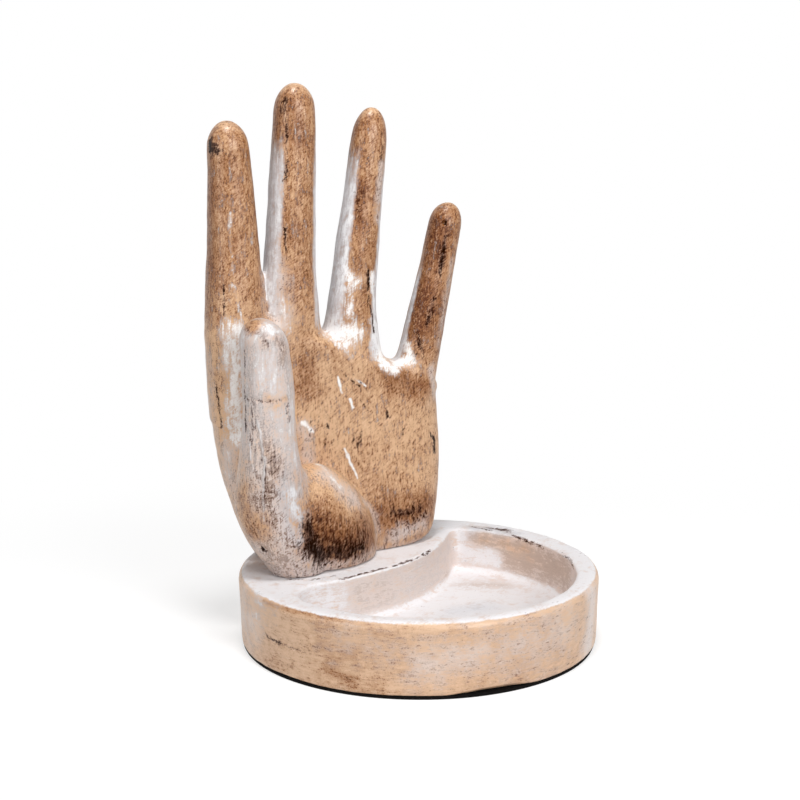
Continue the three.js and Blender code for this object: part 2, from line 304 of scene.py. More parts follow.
@dataclass
class Skin:
    """Dense closed surface taken from a CAD node, shaped and coated point by point.

    Attributes:
        node: Name of the CAD node.
        voxel: Spacing of the skin's points.
        sanding: Share by which sanding evens a point out, then how far it is pushed back.
        broad_wander: Greatest shift and width of the waves in the edges of broad strokes.
        fine_wander: The same for fine strokes.
        seed: Fixes these waves.
        fine_reach: Greatest reach of a fine stroke.
        fading: Distance at which a stroke has faded out, in reaches.
        bare: How much wash and haze the bare paint takes away.
        coats: One value per point for each coat.
    """

    node: str
    voxel: float
    sanding: tuple[float, float] = (0.5, -0.53)
    broad_wander: tuple[float, float] = (2.4, 7.0)
    fine_wander: tuple[float, float] = (0.5, 2.2)
    seed: int = 5
    fine_reach: float = 2.0
    fading: float = 1.6
    bare: float = 1.4
    coats: dict[str, np.ndarray] = field(default_factory=dict)

    def __post_init__(self) -> None:
        """Covers the CAD node with an even skin."""
        holder = place(self.node + "_block", weld(self.node))
        remesh = holder.modifiers.new("even_skin", "REMESH")
        remesh.mode = "VOXEL"
        remesh.voxel_size = self.voxel * MM
        self.mesh = plain_mesh(holder)
        self.mesh.name = self.node + "_skin"
        self.low, self.high = (np.array(corner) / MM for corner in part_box(self.node))
        self._read()

    def _read(self) -> None:
        """Reads the mesh's points, edges and triangles into arrays."""
        mesh = self.mesh
        count = len(mesh.vertices)
        points = np.empty(count * 3, dtype=np.float32)
        mesh.vertices.foreach_get("co", points)
        self.points = points.reshape(-1, 3).astype(float) / MM
        edges = np.empty(len(mesh.edges) * 2, dtype=np.int32)
        mesh.edges.foreach_get("vertices", edges)
        self.edges = edges.reshape(-1, 2)
        self.degree = np.maximum(np.bincount(edges, minlength=count), 1)
        mesh.calc_loop_triangles()
        triangles = np.empty(len(mesh.loop_triangles) * 3, dtype=np.int32)
        mesh.loop_triangles.foreach_get("vertices", triangles)
        self.triangles = triangles.reshape(-1, 3)

    def _write_points(self) -> None:
        """Writes the points back to the mesh, in metres."""
        self.mesh.vertices.foreach_set("co", (self.points * MM).astype(np.float32).ravel())
        self.mesh.update()

    def _gather(self, keys: np.ndarray, values: np.ndarray) -> np.ndarray:
        """Adds rows of values up by point."""
        count = len(self.points)
        return np.stack([np.bincount(keys, column, count) for column in values.T], axis=1)

    def average(self, values: np.ndarray) -> np.ndarray:
        """Averages the values of each point's neighbours.

        Args:
            values: One value or row of values per point.

        Returns:
            The averages, in the same shape.
        """
        rows = values.reshape(len(values), -1)
        first, second = self.edges.T
        total = self._gather(first, rows[second]) + self._gather(second, rows[first])
        return (total / self.degree[:, None]).reshape(values.shape)

    def normals(self) -> np.ndarray:
        """Finds the outward directions.

        Returns:
            One direction per point.
        """
        one, two, three = (self.points[self.triangles[:, corner]] for corner in range(3))
        faces = np.cross(two - one, three - one)
        total = sum(self._gather(self.triangles[:, corner], faces) for corner in range(3))
        return total / np.maximum(np.linalg.norm(total, axis=1, keepdims=True), 1e-12)

    def smooth(self, rounds: int) -> None:
        """Sands facets away without shrinking the shape.

        Args:
            rounds: How often to sand.
        """
        for _ in range(rounds):
            for step in self.sanding:
                self.points += step * (self.average(self.points) - self.points)

    def fill(self, rounds: int) -> None:
        """Rounds out the inner corners only, as a gouge leaves them.

        Args:
            rounds: How often to fill.
        """
        for _ in range(rounds):
            normals = self.normals()
            rise = np.sum((self.average(self.points) - self.points) * normals, axis=1)
            self.points += normals * np.clip(rise, 0.0, None)[:, None]

    def wander(self, amount: float, size: float) -> np.ndarray:
        """Shifts copies of the points a little, so that strokes get uneven edges.

        Args:
            amount: Greatest shift.
            size: Width of one wave.

        Returns:
            The shifted points.
        """
        noise.seed_set(self.seed)
        waves = [noise.noise_vector(Vector(point)) for point in self.points / size]
        return self.points + amount * np.array(waves)

    def roughen(self, amount: float, size: float, seed: float) -> None:
        """Gives the surface the slight unevenness of hand work.

        Args:
            amount: Greatest rise or fall.
            size: Width of one wave.
            seed: Shifts the pattern.
        """
        shift = Vector((seed, seed, seed))
        waves = [noise.noise(Vector(point) + shift) for point in self.points / size]
        self.points += self.normals() * (amount * np.array(waves))[:, None]

    def refine(self, strokes: list[Stroke], margin: float) -> None:
        """Halves the spacing of the points around strokes that cut or raise the surface.

        Args:
            strokes: Strokes to refine.
            margin: How far beyond each stroke to go.
        """
        self._write_points()
        near = np.zeros(len(self.points), dtype=bool)
        for stroke in strokes:
            near[stroke.cover(self.points, stroke.reach + margin)[0]] = True
        shell = bmesh.new()
        shell.from_mesh(self.mesh)
        edges = [
            edge for edge in shell.edges if near[edge.verts[0].index] and near[edge.verts[1].index]
        ]
        bmesh.ops.subdivide_edges(shell, edges=edges, cuts=1, use_grid_fill=True)
        bmesh.ops.triangulate(shell, faces=[face for face in shell.faces if len(face.verts) > 4])
        shell.to_mesh(self.mesh)
        shell.free()
        self._read()

    def cut(self, strokes: list[Stroke]) -> None:
        """Raises or lowers the surface along strokes.

        Args:
            strokes: Strokes with a lift.
        """
        for stroke in strokes:
            under, share = stroke.cover(self.points, stroke.reach)
            rise = stroke.lift * smoothstep(0.0, 1.0, share)
            self.points[under] += self.normals()[under] * rise[:, None]

    def coat(self, strokes: list[Stroke]) -> None:
        """Lays strokes over the coats, then lets bare paint show through the wash.

        Args:
            strokes: Strokes in the order they are laid.
        """
        for layer in Layer:
            self.coats.setdefault(layer.value, np.zeros(len(self.points)))
        broad, fine = self.wander(*self.broad_wander), self.wander(*self.fine_wander)
        for stroke in strokes:
            where = broad if stroke.reach > self.fine_reach else fine
            under, share = stroke.cover(where, self.fading * stroke.reach)
            values = self.coats[stroke.layer.value]
            values[under] = np.maximum(values[under], stroke.amount * share)
        bare = self.bare * self.coats.pop(Layer.PAINT.value)
        self.coats[Layer.WASH.value] -= bare
        self.coats[Layer.HAZE.value] -= bare

    def hollows(self, rounds: int) -> np.ndarray:
        """Measures how hollow the surface is at each point.

        Args:
            rounds: How widely to look.

        Returns:
            Above 0 in hollows and below 0 on edges.
        """
        soft = self.points.copy()
        for _ in range(rounds):
            soft += 0.5 * (self.average(soft) - soft)
        return np.sum((soft - self.points) * self.normals(), axis=1)

    def store(self, name: str) -> bpy.types.Object:
        """Turns the skin into a finished object inside the CAD node's box.

        Args:
            name: Name of the object.

        Returns:
            The object, with its coats as attributes.
        """
        self.points = np.clip(self.points, self.low, self.high)
        self._write_points()
        for key, values in self.coats.items():
            channel = self.mesh.attributes.new(key, "FLOAT", "POINT")
            channel.data.foreach_set("value", values.astype(np.float32))
        self.mesh.shade_smooth()
        return place(name, self.mesh)


class NodeKit:
    """Lays out and links the nodes of one tree."""

    def __init__(self, tree: bpy.types.NodeTree) -> None:
        """Takes the tree to work on."""
        self.tree = tree

    def feed(self, socket: bpy.types.NodeSocket, value: Any) -> None:
        """Links a socket to another, or sets its value.

        Args:
            socket: Input to feed.
            value: Output to link it to, or a plain value.
        """
        if isinstance(value, bpy.types.NodeSocket):
            self.tree.links.new(value, socket)
        else:
            socket.default_value = value

    def node(self, kind: str, inputs: dict[Any, Any], **settings: Any) -> bpy.types.Node:
        """Adds a node.

        Args:
            kind: Blender's name for the node.
            inputs: Values or sockets by input.
            settings: Options of the node.

        Returns:
            The new node.
        """
        made = self.tree.nodes.new(kind)
        for key, value in settings.items():
            setattr(made, key, value)
        for key, value in inputs.items():
            self.feed(made.inputs[key], value)
        return made

    def math(self, operation: str, first: Any, second: Any) -> bpy.types.NodeSocket:
        """Joins two numbers."""
        return self.node("ShaderNodeMath", {0: first, 1: second}, operation=operation).outputs[0]

    def seen(self) -> bpy.types.NodeSocket:
        """Tells what the eye sees from what only lights the stand.

        Returns:
            Socket with 1 for rays from the eye, also by way of a reflection or through glass.
        """
        ray = self.node("ShaderNodeLightPath", {}).outputs
        straight = self.math("MAXIMUM", ray["Is Camera Ray"], ray["Is Glossy Ray"])
        return self.math("MAXIMUM", straight, ray["Is Transmission Ray"])


class Recipe(NodeKit):
    """Mixes one material."""

    def __init__(self, name: str) -> None:
        """Starts a material with a shader and a pattern place.

        Args:
            name: Name of the material.
        """
        self.material = bpy.data.materials.new(name)
        self.material.use_nodes = True
        super().__init__(self.material.node_tree)
        self.shader = self.tree.nodes["Principled BSDF"]
        self.place = self.node("ShaderNodeTexCoord", {}).outputs["Object"]

    def noise(
        self, size: float, detail: float, stretch: Point = (1, 1, 1), turn: Point = (0, 0, 0)
    ) -> bpy.types.NodeSocket:
        """Adds a cloudy pattern.

        Args:
            size: Width of one cloud.
            detail: Levels of smaller clouds.
            stretch: How many times longer the clouds are along each axis.
            turn: Turns the stretched pattern about each axis, in degrees.

        Returns:
            Socket with values around 0.
        """
        inputs = {
            "Vector": self.place,
            "Rotation": tuple(math.radians(angle) for angle in turn),
            "Scale": tuple(size * MM * times for times in stretch),
        }
        where = self.node("ShaderNodeMapping", inputs, vector_type="TEXTURE").outputs[0]
        inputs = {"Vector": where, "Scale": 1.0, "Detail": detail, "Roughness": 0.6, "Distortion": 0.5}
        cloud = self.node("ShaderNodeTexNoise", inputs).outputs[0]
        return self.math("SUBTRACT", cloud, 0.5)

    def coat(self, layer: Layer) -> bpy.types.NodeSocket:
        """Reads one of the skin's coats."""
        return self.node("ShaderNodeAttribute", {}, attribute_name=layer.value).outputs["Fac"]

    def weigh(self, base: Any, *parts: tuple[Any, float]) -> bpy.types.NodeSocket:
        """Adds up patterns.

        Args:
            base: Number or socket to start from.
            parts: Sockets with their weights.

        Returns:
            Socket with the sum.
        """
        total: Any = base
        for socket, weight in parts:
            inputs = {0: socket, 1: weight, 2: total}
            total = self.node("ShaderNodeMath", inputs, operation="MULTIPLY_ADD").outputs[0]
        return total

    def ramp(self, value: Any, low: float, high: float, top: float = 1.0) -> bpy.types.NodeSocket:
        """Eases a pattern from 0 at low to top at high."""
        inputs = {"Value": value, "From Min": low, "From Max": high, "To Max": top}
        return self.node("ShaderNodeMapRange", inputs, interpolation_type="SMOOTHSTEP").outputs[0]

    def mix(self, share: Any, first: Any, second: Any) -> bpy.types.NodeSocket:
        """Blends two colours by a share."""
        inputs = {0: share, 6: first, 7: second}
        return self.node("ShaderNodeMix", inputs, data_type="RGBA").outputs[2]

    def bump(self, height: Any, strength: float, depth: float) -> None:
        """Gives the shader a fine relief."""
        inputs = {"Height": height, "Strength": strength, "Distance": depth * MM}
        self.feed(self.shader.inputs["Normal"], self.node("ShaderNodeBump", inputs).outputs[0])

    def finish(
        self, colour: Any, roughness: Any, metallic: float = 0.0, gloss: Any = 0.5
    ) -> bpy.types.Material:
        """Feeds the shader.

        Args:
            colour: Colour or its socket.
            roughness: Roughness or its socket.
            metallic: 1 for metal.
            gloss: Strength of the reflections of paint and cloth, or its socket.

        Returns:
            The finished material.
        """
        inputs = {
            "Base Color": colour,
            "Roughness": roughness,
            "Metallic": metallic,
            "Specular IOR Level": gloss,
        }
        for key, value in inputs.items():
            self.feed(self.shader.inputs[key], value)
        return self.material


@dataclass(frozen=True)
class PaintedWood:
    """Tan paint, rubbed back to dark wood, with thin and thick white wash over it.

    Attributes:
        name: Name of the material.
        paint: Main colour of the paint.
        deep: Colour of the paint where it lies thick.
        pale: Colour of the paint where it is brushed thin.
        umber: Colour of the paint where it is rubbed most.
        brown: Bare wood that shows where the paint is rubbed, also the brown edge of stains and of painted
            shadow and shade.
        black: Dark stain, also painted shadow and shade.
        white: Thick wash, also a painted highlight and rim light on the thumb.
        rosy: Thin wash, also a painted rim light on the little finger.
        dusk: Thin wash that has picked up dirt.
        chill: Bluish wash, also a painted bluish rim light on the thumb.
        grain: How many times longer the brush marks are along each axis.
        turn: Turns the cross strokes, in degrees.
        speckle: Strength of the fine hair lines.
        soft: How gently the wash fades out, as half of its fading range.
    """

    name: str
    paint: Colour
    deep: Colour
    pale: Colour
    umber: Colour = (128, 74, 22)
    brown: Colour = (82, 38, 6)
    black: Colour = (24, 8, 1)
    white: Colour = (250, 248, 246)
    rosy: Colour = (212, 195, 186)
    dusk: Colour = (150, 127, 113)
    chill: Colour = (196, 201, 210)
    grain: Point = (1, 1, 9)
    turn: Point = (0, 55, 0)
    speckle: float = 1.0
    soft: float = 0.32

    def material(self) -> bpy.types.Material:
        """Mixes the finish, coat over coat.

        Returns:
            The material.
        """
        kit = Recipe(self.name)
        broad = kit.noise(18, 3)
        patch = kit.noise(4.2, 5)
        streak = kit.noise(1.3, 4, self.grain)
        fleck = kit.noise(0.45, 1)
        hair = kit.noise(0.42, 1, tuple(1.8 * math.sqrt(times) for times in self.grain))
        cross = kit.noise(0.42, 1, (1, 1, 6), self.turn)
        fine = kit.weigh(0.0, (hair, 1.0), (cross, 1.0), (fleck, 0.5))
        wash, haze, rub, stain, chill, soil = (
            kit.coat(layer) for layer in Layer if layer is not Layer.PAINT
        )

        # Tan paint: darker where it lies thick or is rubbed, paler where it is brushed thin. Through the
        # rub coat it is also darker as painted shade on the fingers' sideways faces and paler as a painted
        # highlight on their tops.
        thick = kit.weigh(rub, (broad, 0.8), (patch, 0.7), (streak, 0.8), (fine, 0.6 * self.speckle))
        paint = kit.mix(kit.ramp(thick, 0.0, 0.7), linear(self.paint), linear(self.deep))
        paint = kit.mix(kit.ramp(thick, 0.45, 1.15), paint, linear(self.umber))
        thin = kit.ramp(kit.weigh(0.0, (streak, 0.6), (fine, -0.5 * self.speckle)), 0.0, 0.4, 0.6)
        paint = kit.mix(thin, paint, linear(self.pale))

        # Bare wood: flecks and scratches where the paint is worn through.
        worn = kit.weigh(-0.04, (rub, 0.5), (broad, 0.5), (patch, 0.9))
        grit = kit.weigh(worn, (fine, 1.8 * self.speckle), (streak, 0.7))
        bare = kit.ramp(grit, 0.4, 0.9)
        colour = kit.mix(kit.ramp(grit, 0.32, 0.54, 0.9), paint, linear(self.umber))
        colour = kit.mix(kit.ramp(grit, 0.5, 0.82, 0.95), colour, linear(self.brown))

        # Thin wash: rosy, bluish or dirty, with the bare wood showing through. It also paints a rim light
        # along the little finger and, bluish, along the thumb.
        veil = kit.ramp(kit.weigh(haze, (patch, 1.5), (streak, 1.1), (fine, 0.6 * self.speckle)), 0.0, 1.0)
        shown = kit.weigh(0.88, (bare, -0.82))
        cool = kit.weigh(0.0, (chill, 0.75))
        grime = kit.weigh(soil, (patch, 1.3), (streak, 1.4), (fine, 1.3 * self.speckle))
        tint = kit.mix(cool, linear(self.rosy), linear(self.chill))
        tint = kit.mix(kit.ramp(grime, 0.02, 0.42, 0.85), tint, linear(self.dusk))
        colour = kit.mix(kit.math("MULTIPLY", veil, shown), colour, tint)

        # Thick wash: whiter the thicker it lies. It also paints the highlight on the thumb tip and the rim
        # light along the thumb.
        cover = kit.weigh(wash, (patch, 1.6), (streak, 1.8), (fine, 1.0))
        film = kit.ramp(cover, 0.5 - self.soft, 0.5 + self.soft)
        milk = kit.mix(kit.ramp(kit.weigh(cover, (soil, -1.0)), 0.3, 1.2), tint, linear(self.white))
        milk = kit.mix(kit.weigh(0.0, (cool, 0.5)), milk, linear(self.chill))
        colour = kit.mix(kit.weigh(0.0, (film, 0.97)), colour, milk)

        # Stains, and painted shadow and shade laid as stain: black in the middle, brown along the edges.
        dirt = kit.weigh(stain, (streak, 1.0), (fine, 0.9), (patch, 0.6))
        dark = kit.ramp(dirt, 0.45, 1.0)
        colour = kit.mix(kit.ramp(dirt, 0.34, 0.75, 0.9), colour, linear(self.brown))
        colour = kit.mix(kit.weigh(0.0, (dark, 0.95)), colour, linear(self.black))

        relief = kit.weigh(0.0, (film, 0.3), (streak, 0.7), (fine, 0.5), (bare, -0.4), (dark, -0.2))
        kit.bump(relief, 0.5, 0.25)
        rough = kit.weigh(0.36, (film, 0.14), (bare, 0.15), (patch, 0.2))
        gloss = kit.weigh(0.55, (film, -0.25), (bare, -0.3), (dark, -0.4))
        return kit.finish(colour, rough, gloss=gloss)


@dataclass(frozen=True)
class Felt:
    """Black felt."""

    name: str = "black_felt"
    dark: Colour = (10, 8, 8)
    pale: Colour = (30, 27, 26)

    def material(self) -> bpy.types.Material:
        """Mixes the finish.

        Returns:
            The material.
        """
        kit = Recipe(self.name)
        fuzz = kit.noise(0.45, 3)
        kit.bump(fuzz, 0.6, 0.2)
        colour = kit.mix(kit.ramp(fuzz, -0.1, 0.25), linear(self.dark), linear(self.pale))
        return kit.finish(colour, kit.weigh(0.92, (fuzz, 0.3)), gloss=0.1)


@dataclass(frozen=True)
class ScrewSteel:
    """Zinc-plated screw steel, slightly stained."""

    name: str = "screw_steel"
    bright: Colour = (196, 196, 198)
    dull: Colour = (140, 136, 130)

    def material(self) -> bpy.types.Material:
        """Mixes the finish.

        Returns:
            The material.
        """
        kit = Recipe(self.name)
        cloud = kit.noise(2.4, 4)
        turning = kit.noise(0.25, 2, (10, 10, 1))
        kit.bump(turning, 0.2, 0.05)
        colour = kit.mix(kit.ramp(cloud, -0.1, 0.2), linear(self.bright), linear(self.dull))
        return kit.finish(colour, kit.weigh(0.35, (cloud, 0.3)), metallic=1.0)


class Jig(NodeKit):
    """Lays out one Geometry Nodes tree with named inputs."""

    def __init__(self, name: str) -> None:
        """Starts a tree that takes a shape and gives a shape.

        Args:
            name: Name of the tree.
        """
        super().__init__(bpy.data.node_groups.new(name, "GeometryNodeTree"))
        for way in ("INPUT", "OUTPUT"):
            self.tree.interface.new_socket("Shape", in_out=way, socket_type="NodeSocketGeometry")
        self.source = self.tree.nodes.new("NodeGroupInput")
        self.shape = self.source.outputs["Shape"]
        self.sizes: dict[str, Any] = {}

    def size(self, name: str, value: Any) -> bpy.types.NodeSocket:
        """Adds a named input.

        Args:
            name: Name of the input.
            value: Its value, a whole number or a size.

        Returns:
            Socket that gives the value inside the tree.
        """
        kind = "NodeSocketInt" if isinstance(value, int) else "NodeSocketFloat"
        socket = self.tree.interface.new_socket(name, in_out="INPUT", socket_type=kind)
        self.sizes[socket.identifier] = value
        return self.source.outputs[name]

    def make(
        self, added: bpy.types.NodeSocket, material: bpy.types.Material, base: bpy.types.Mesh
    ) -> bpy.types.Mesh:
        """Joins what was added to the base, runs the tree and gives the plain result.

        Args:
            added: Shape to put together with the base.
            material: Finish of the whole result.
            base: Mesh that the tree starts from.

        Returns:
            The finished mesh.
        """
        joined = self.node("GeometryNodeJoinGeometry", {})
        for shape in (self.shape, added):
            self.tree.links.new(shape, joined.inputs[0])
        real = self.node("GeometryNodeRealizeInstances", {0: joined.outputs[0]}).outputs[0]
        dressed = self.node("GeometryNodeSetMaterial", {0: real, "Material": material}).outputs[0]
        self.node("NodeGroupOutput", {0: dressed})
        holder = place(self.tree.name + "_base", base)
        modifier = holder.modifiers.new("jig", "NODES")
        modifier.node_group = self.tree
        for identifier, value in self.sizes.items():
            modifier[identifier] = value
        return plain_mesh(holder)


@dataclass(frozen=True)
class Finger:
    """Line of one finger and how far the wash reaches round from its two sides.

    Attributes:
        root: Middle of the finger at the knuckles.
        tip: End of the finger.
        thumb_side: Half angle of the wash on the side towards the thumb, in degrees.
        little_side: The same on the other side, at the root and at the tip.
        bare_tip: Length at the tip without wash.
        thickness: Distance from the finger's line at which the wash ends.
        edge: Width over which it fades out there.
        blur: Half of the angle over which the wash fades out, in degrees.
        root_fade: Length over which the wash begins at the root.
        tip_fade: How far the wash fades before and after the start of the bare tip.
    """

    root: Point
    tip: Point
    thumb_side: float
    little_side: tuple[float, float]
    bare_tip: float
    thickness: float = 13.5
    edge: float = 2.0
    blur: float = 13.0
    root_fade: float = 14.0
    tip_fade: tuple[float, float] = (26.0, 8.0)

    def wash(self, points: np.ndarray) -> np.ndarray:
        """Brushes the wash onto both sides of the finger.

        Args:
            points: Places of the skin's points.

        Returns:
            Wash per point, 0 away from this finger.
        """
        root, tip = np.array(self.root), np.array(self.tip)
        run = tip - root
        length = np.linalg.norm(run)
        along = (points - root) @ run / length
        away = points - root - along[:, None] * run / length
        turn = np.abs(np.degrees(np.arctan2(away[:, 1], away[:, 0])))
        low, high = self.little_side
        little = low + (high - low) * np.clip(along / length, 0.0, 1.0)
        sides = np.maximum(
            1.0 - smoothstep(-self.blur, self.blur, 180.0 - turn - self.thumb_side),
            1.0 - smoothstep(-self.blur, self.blur, turn - little),
        )
        reach = np.linalg.norm(away, axis=1)
        near = 1.0 - smoothstep(self.thickness - self.edge, self.thickness, reach)
        end = length - self.bare_tip
        before, after = self.tip_fade
        begun = smoothstep(0.0, self.root_fade, along)
        return sides * near * begun * (1.0 - smoothstep(end - before, end + after, along))


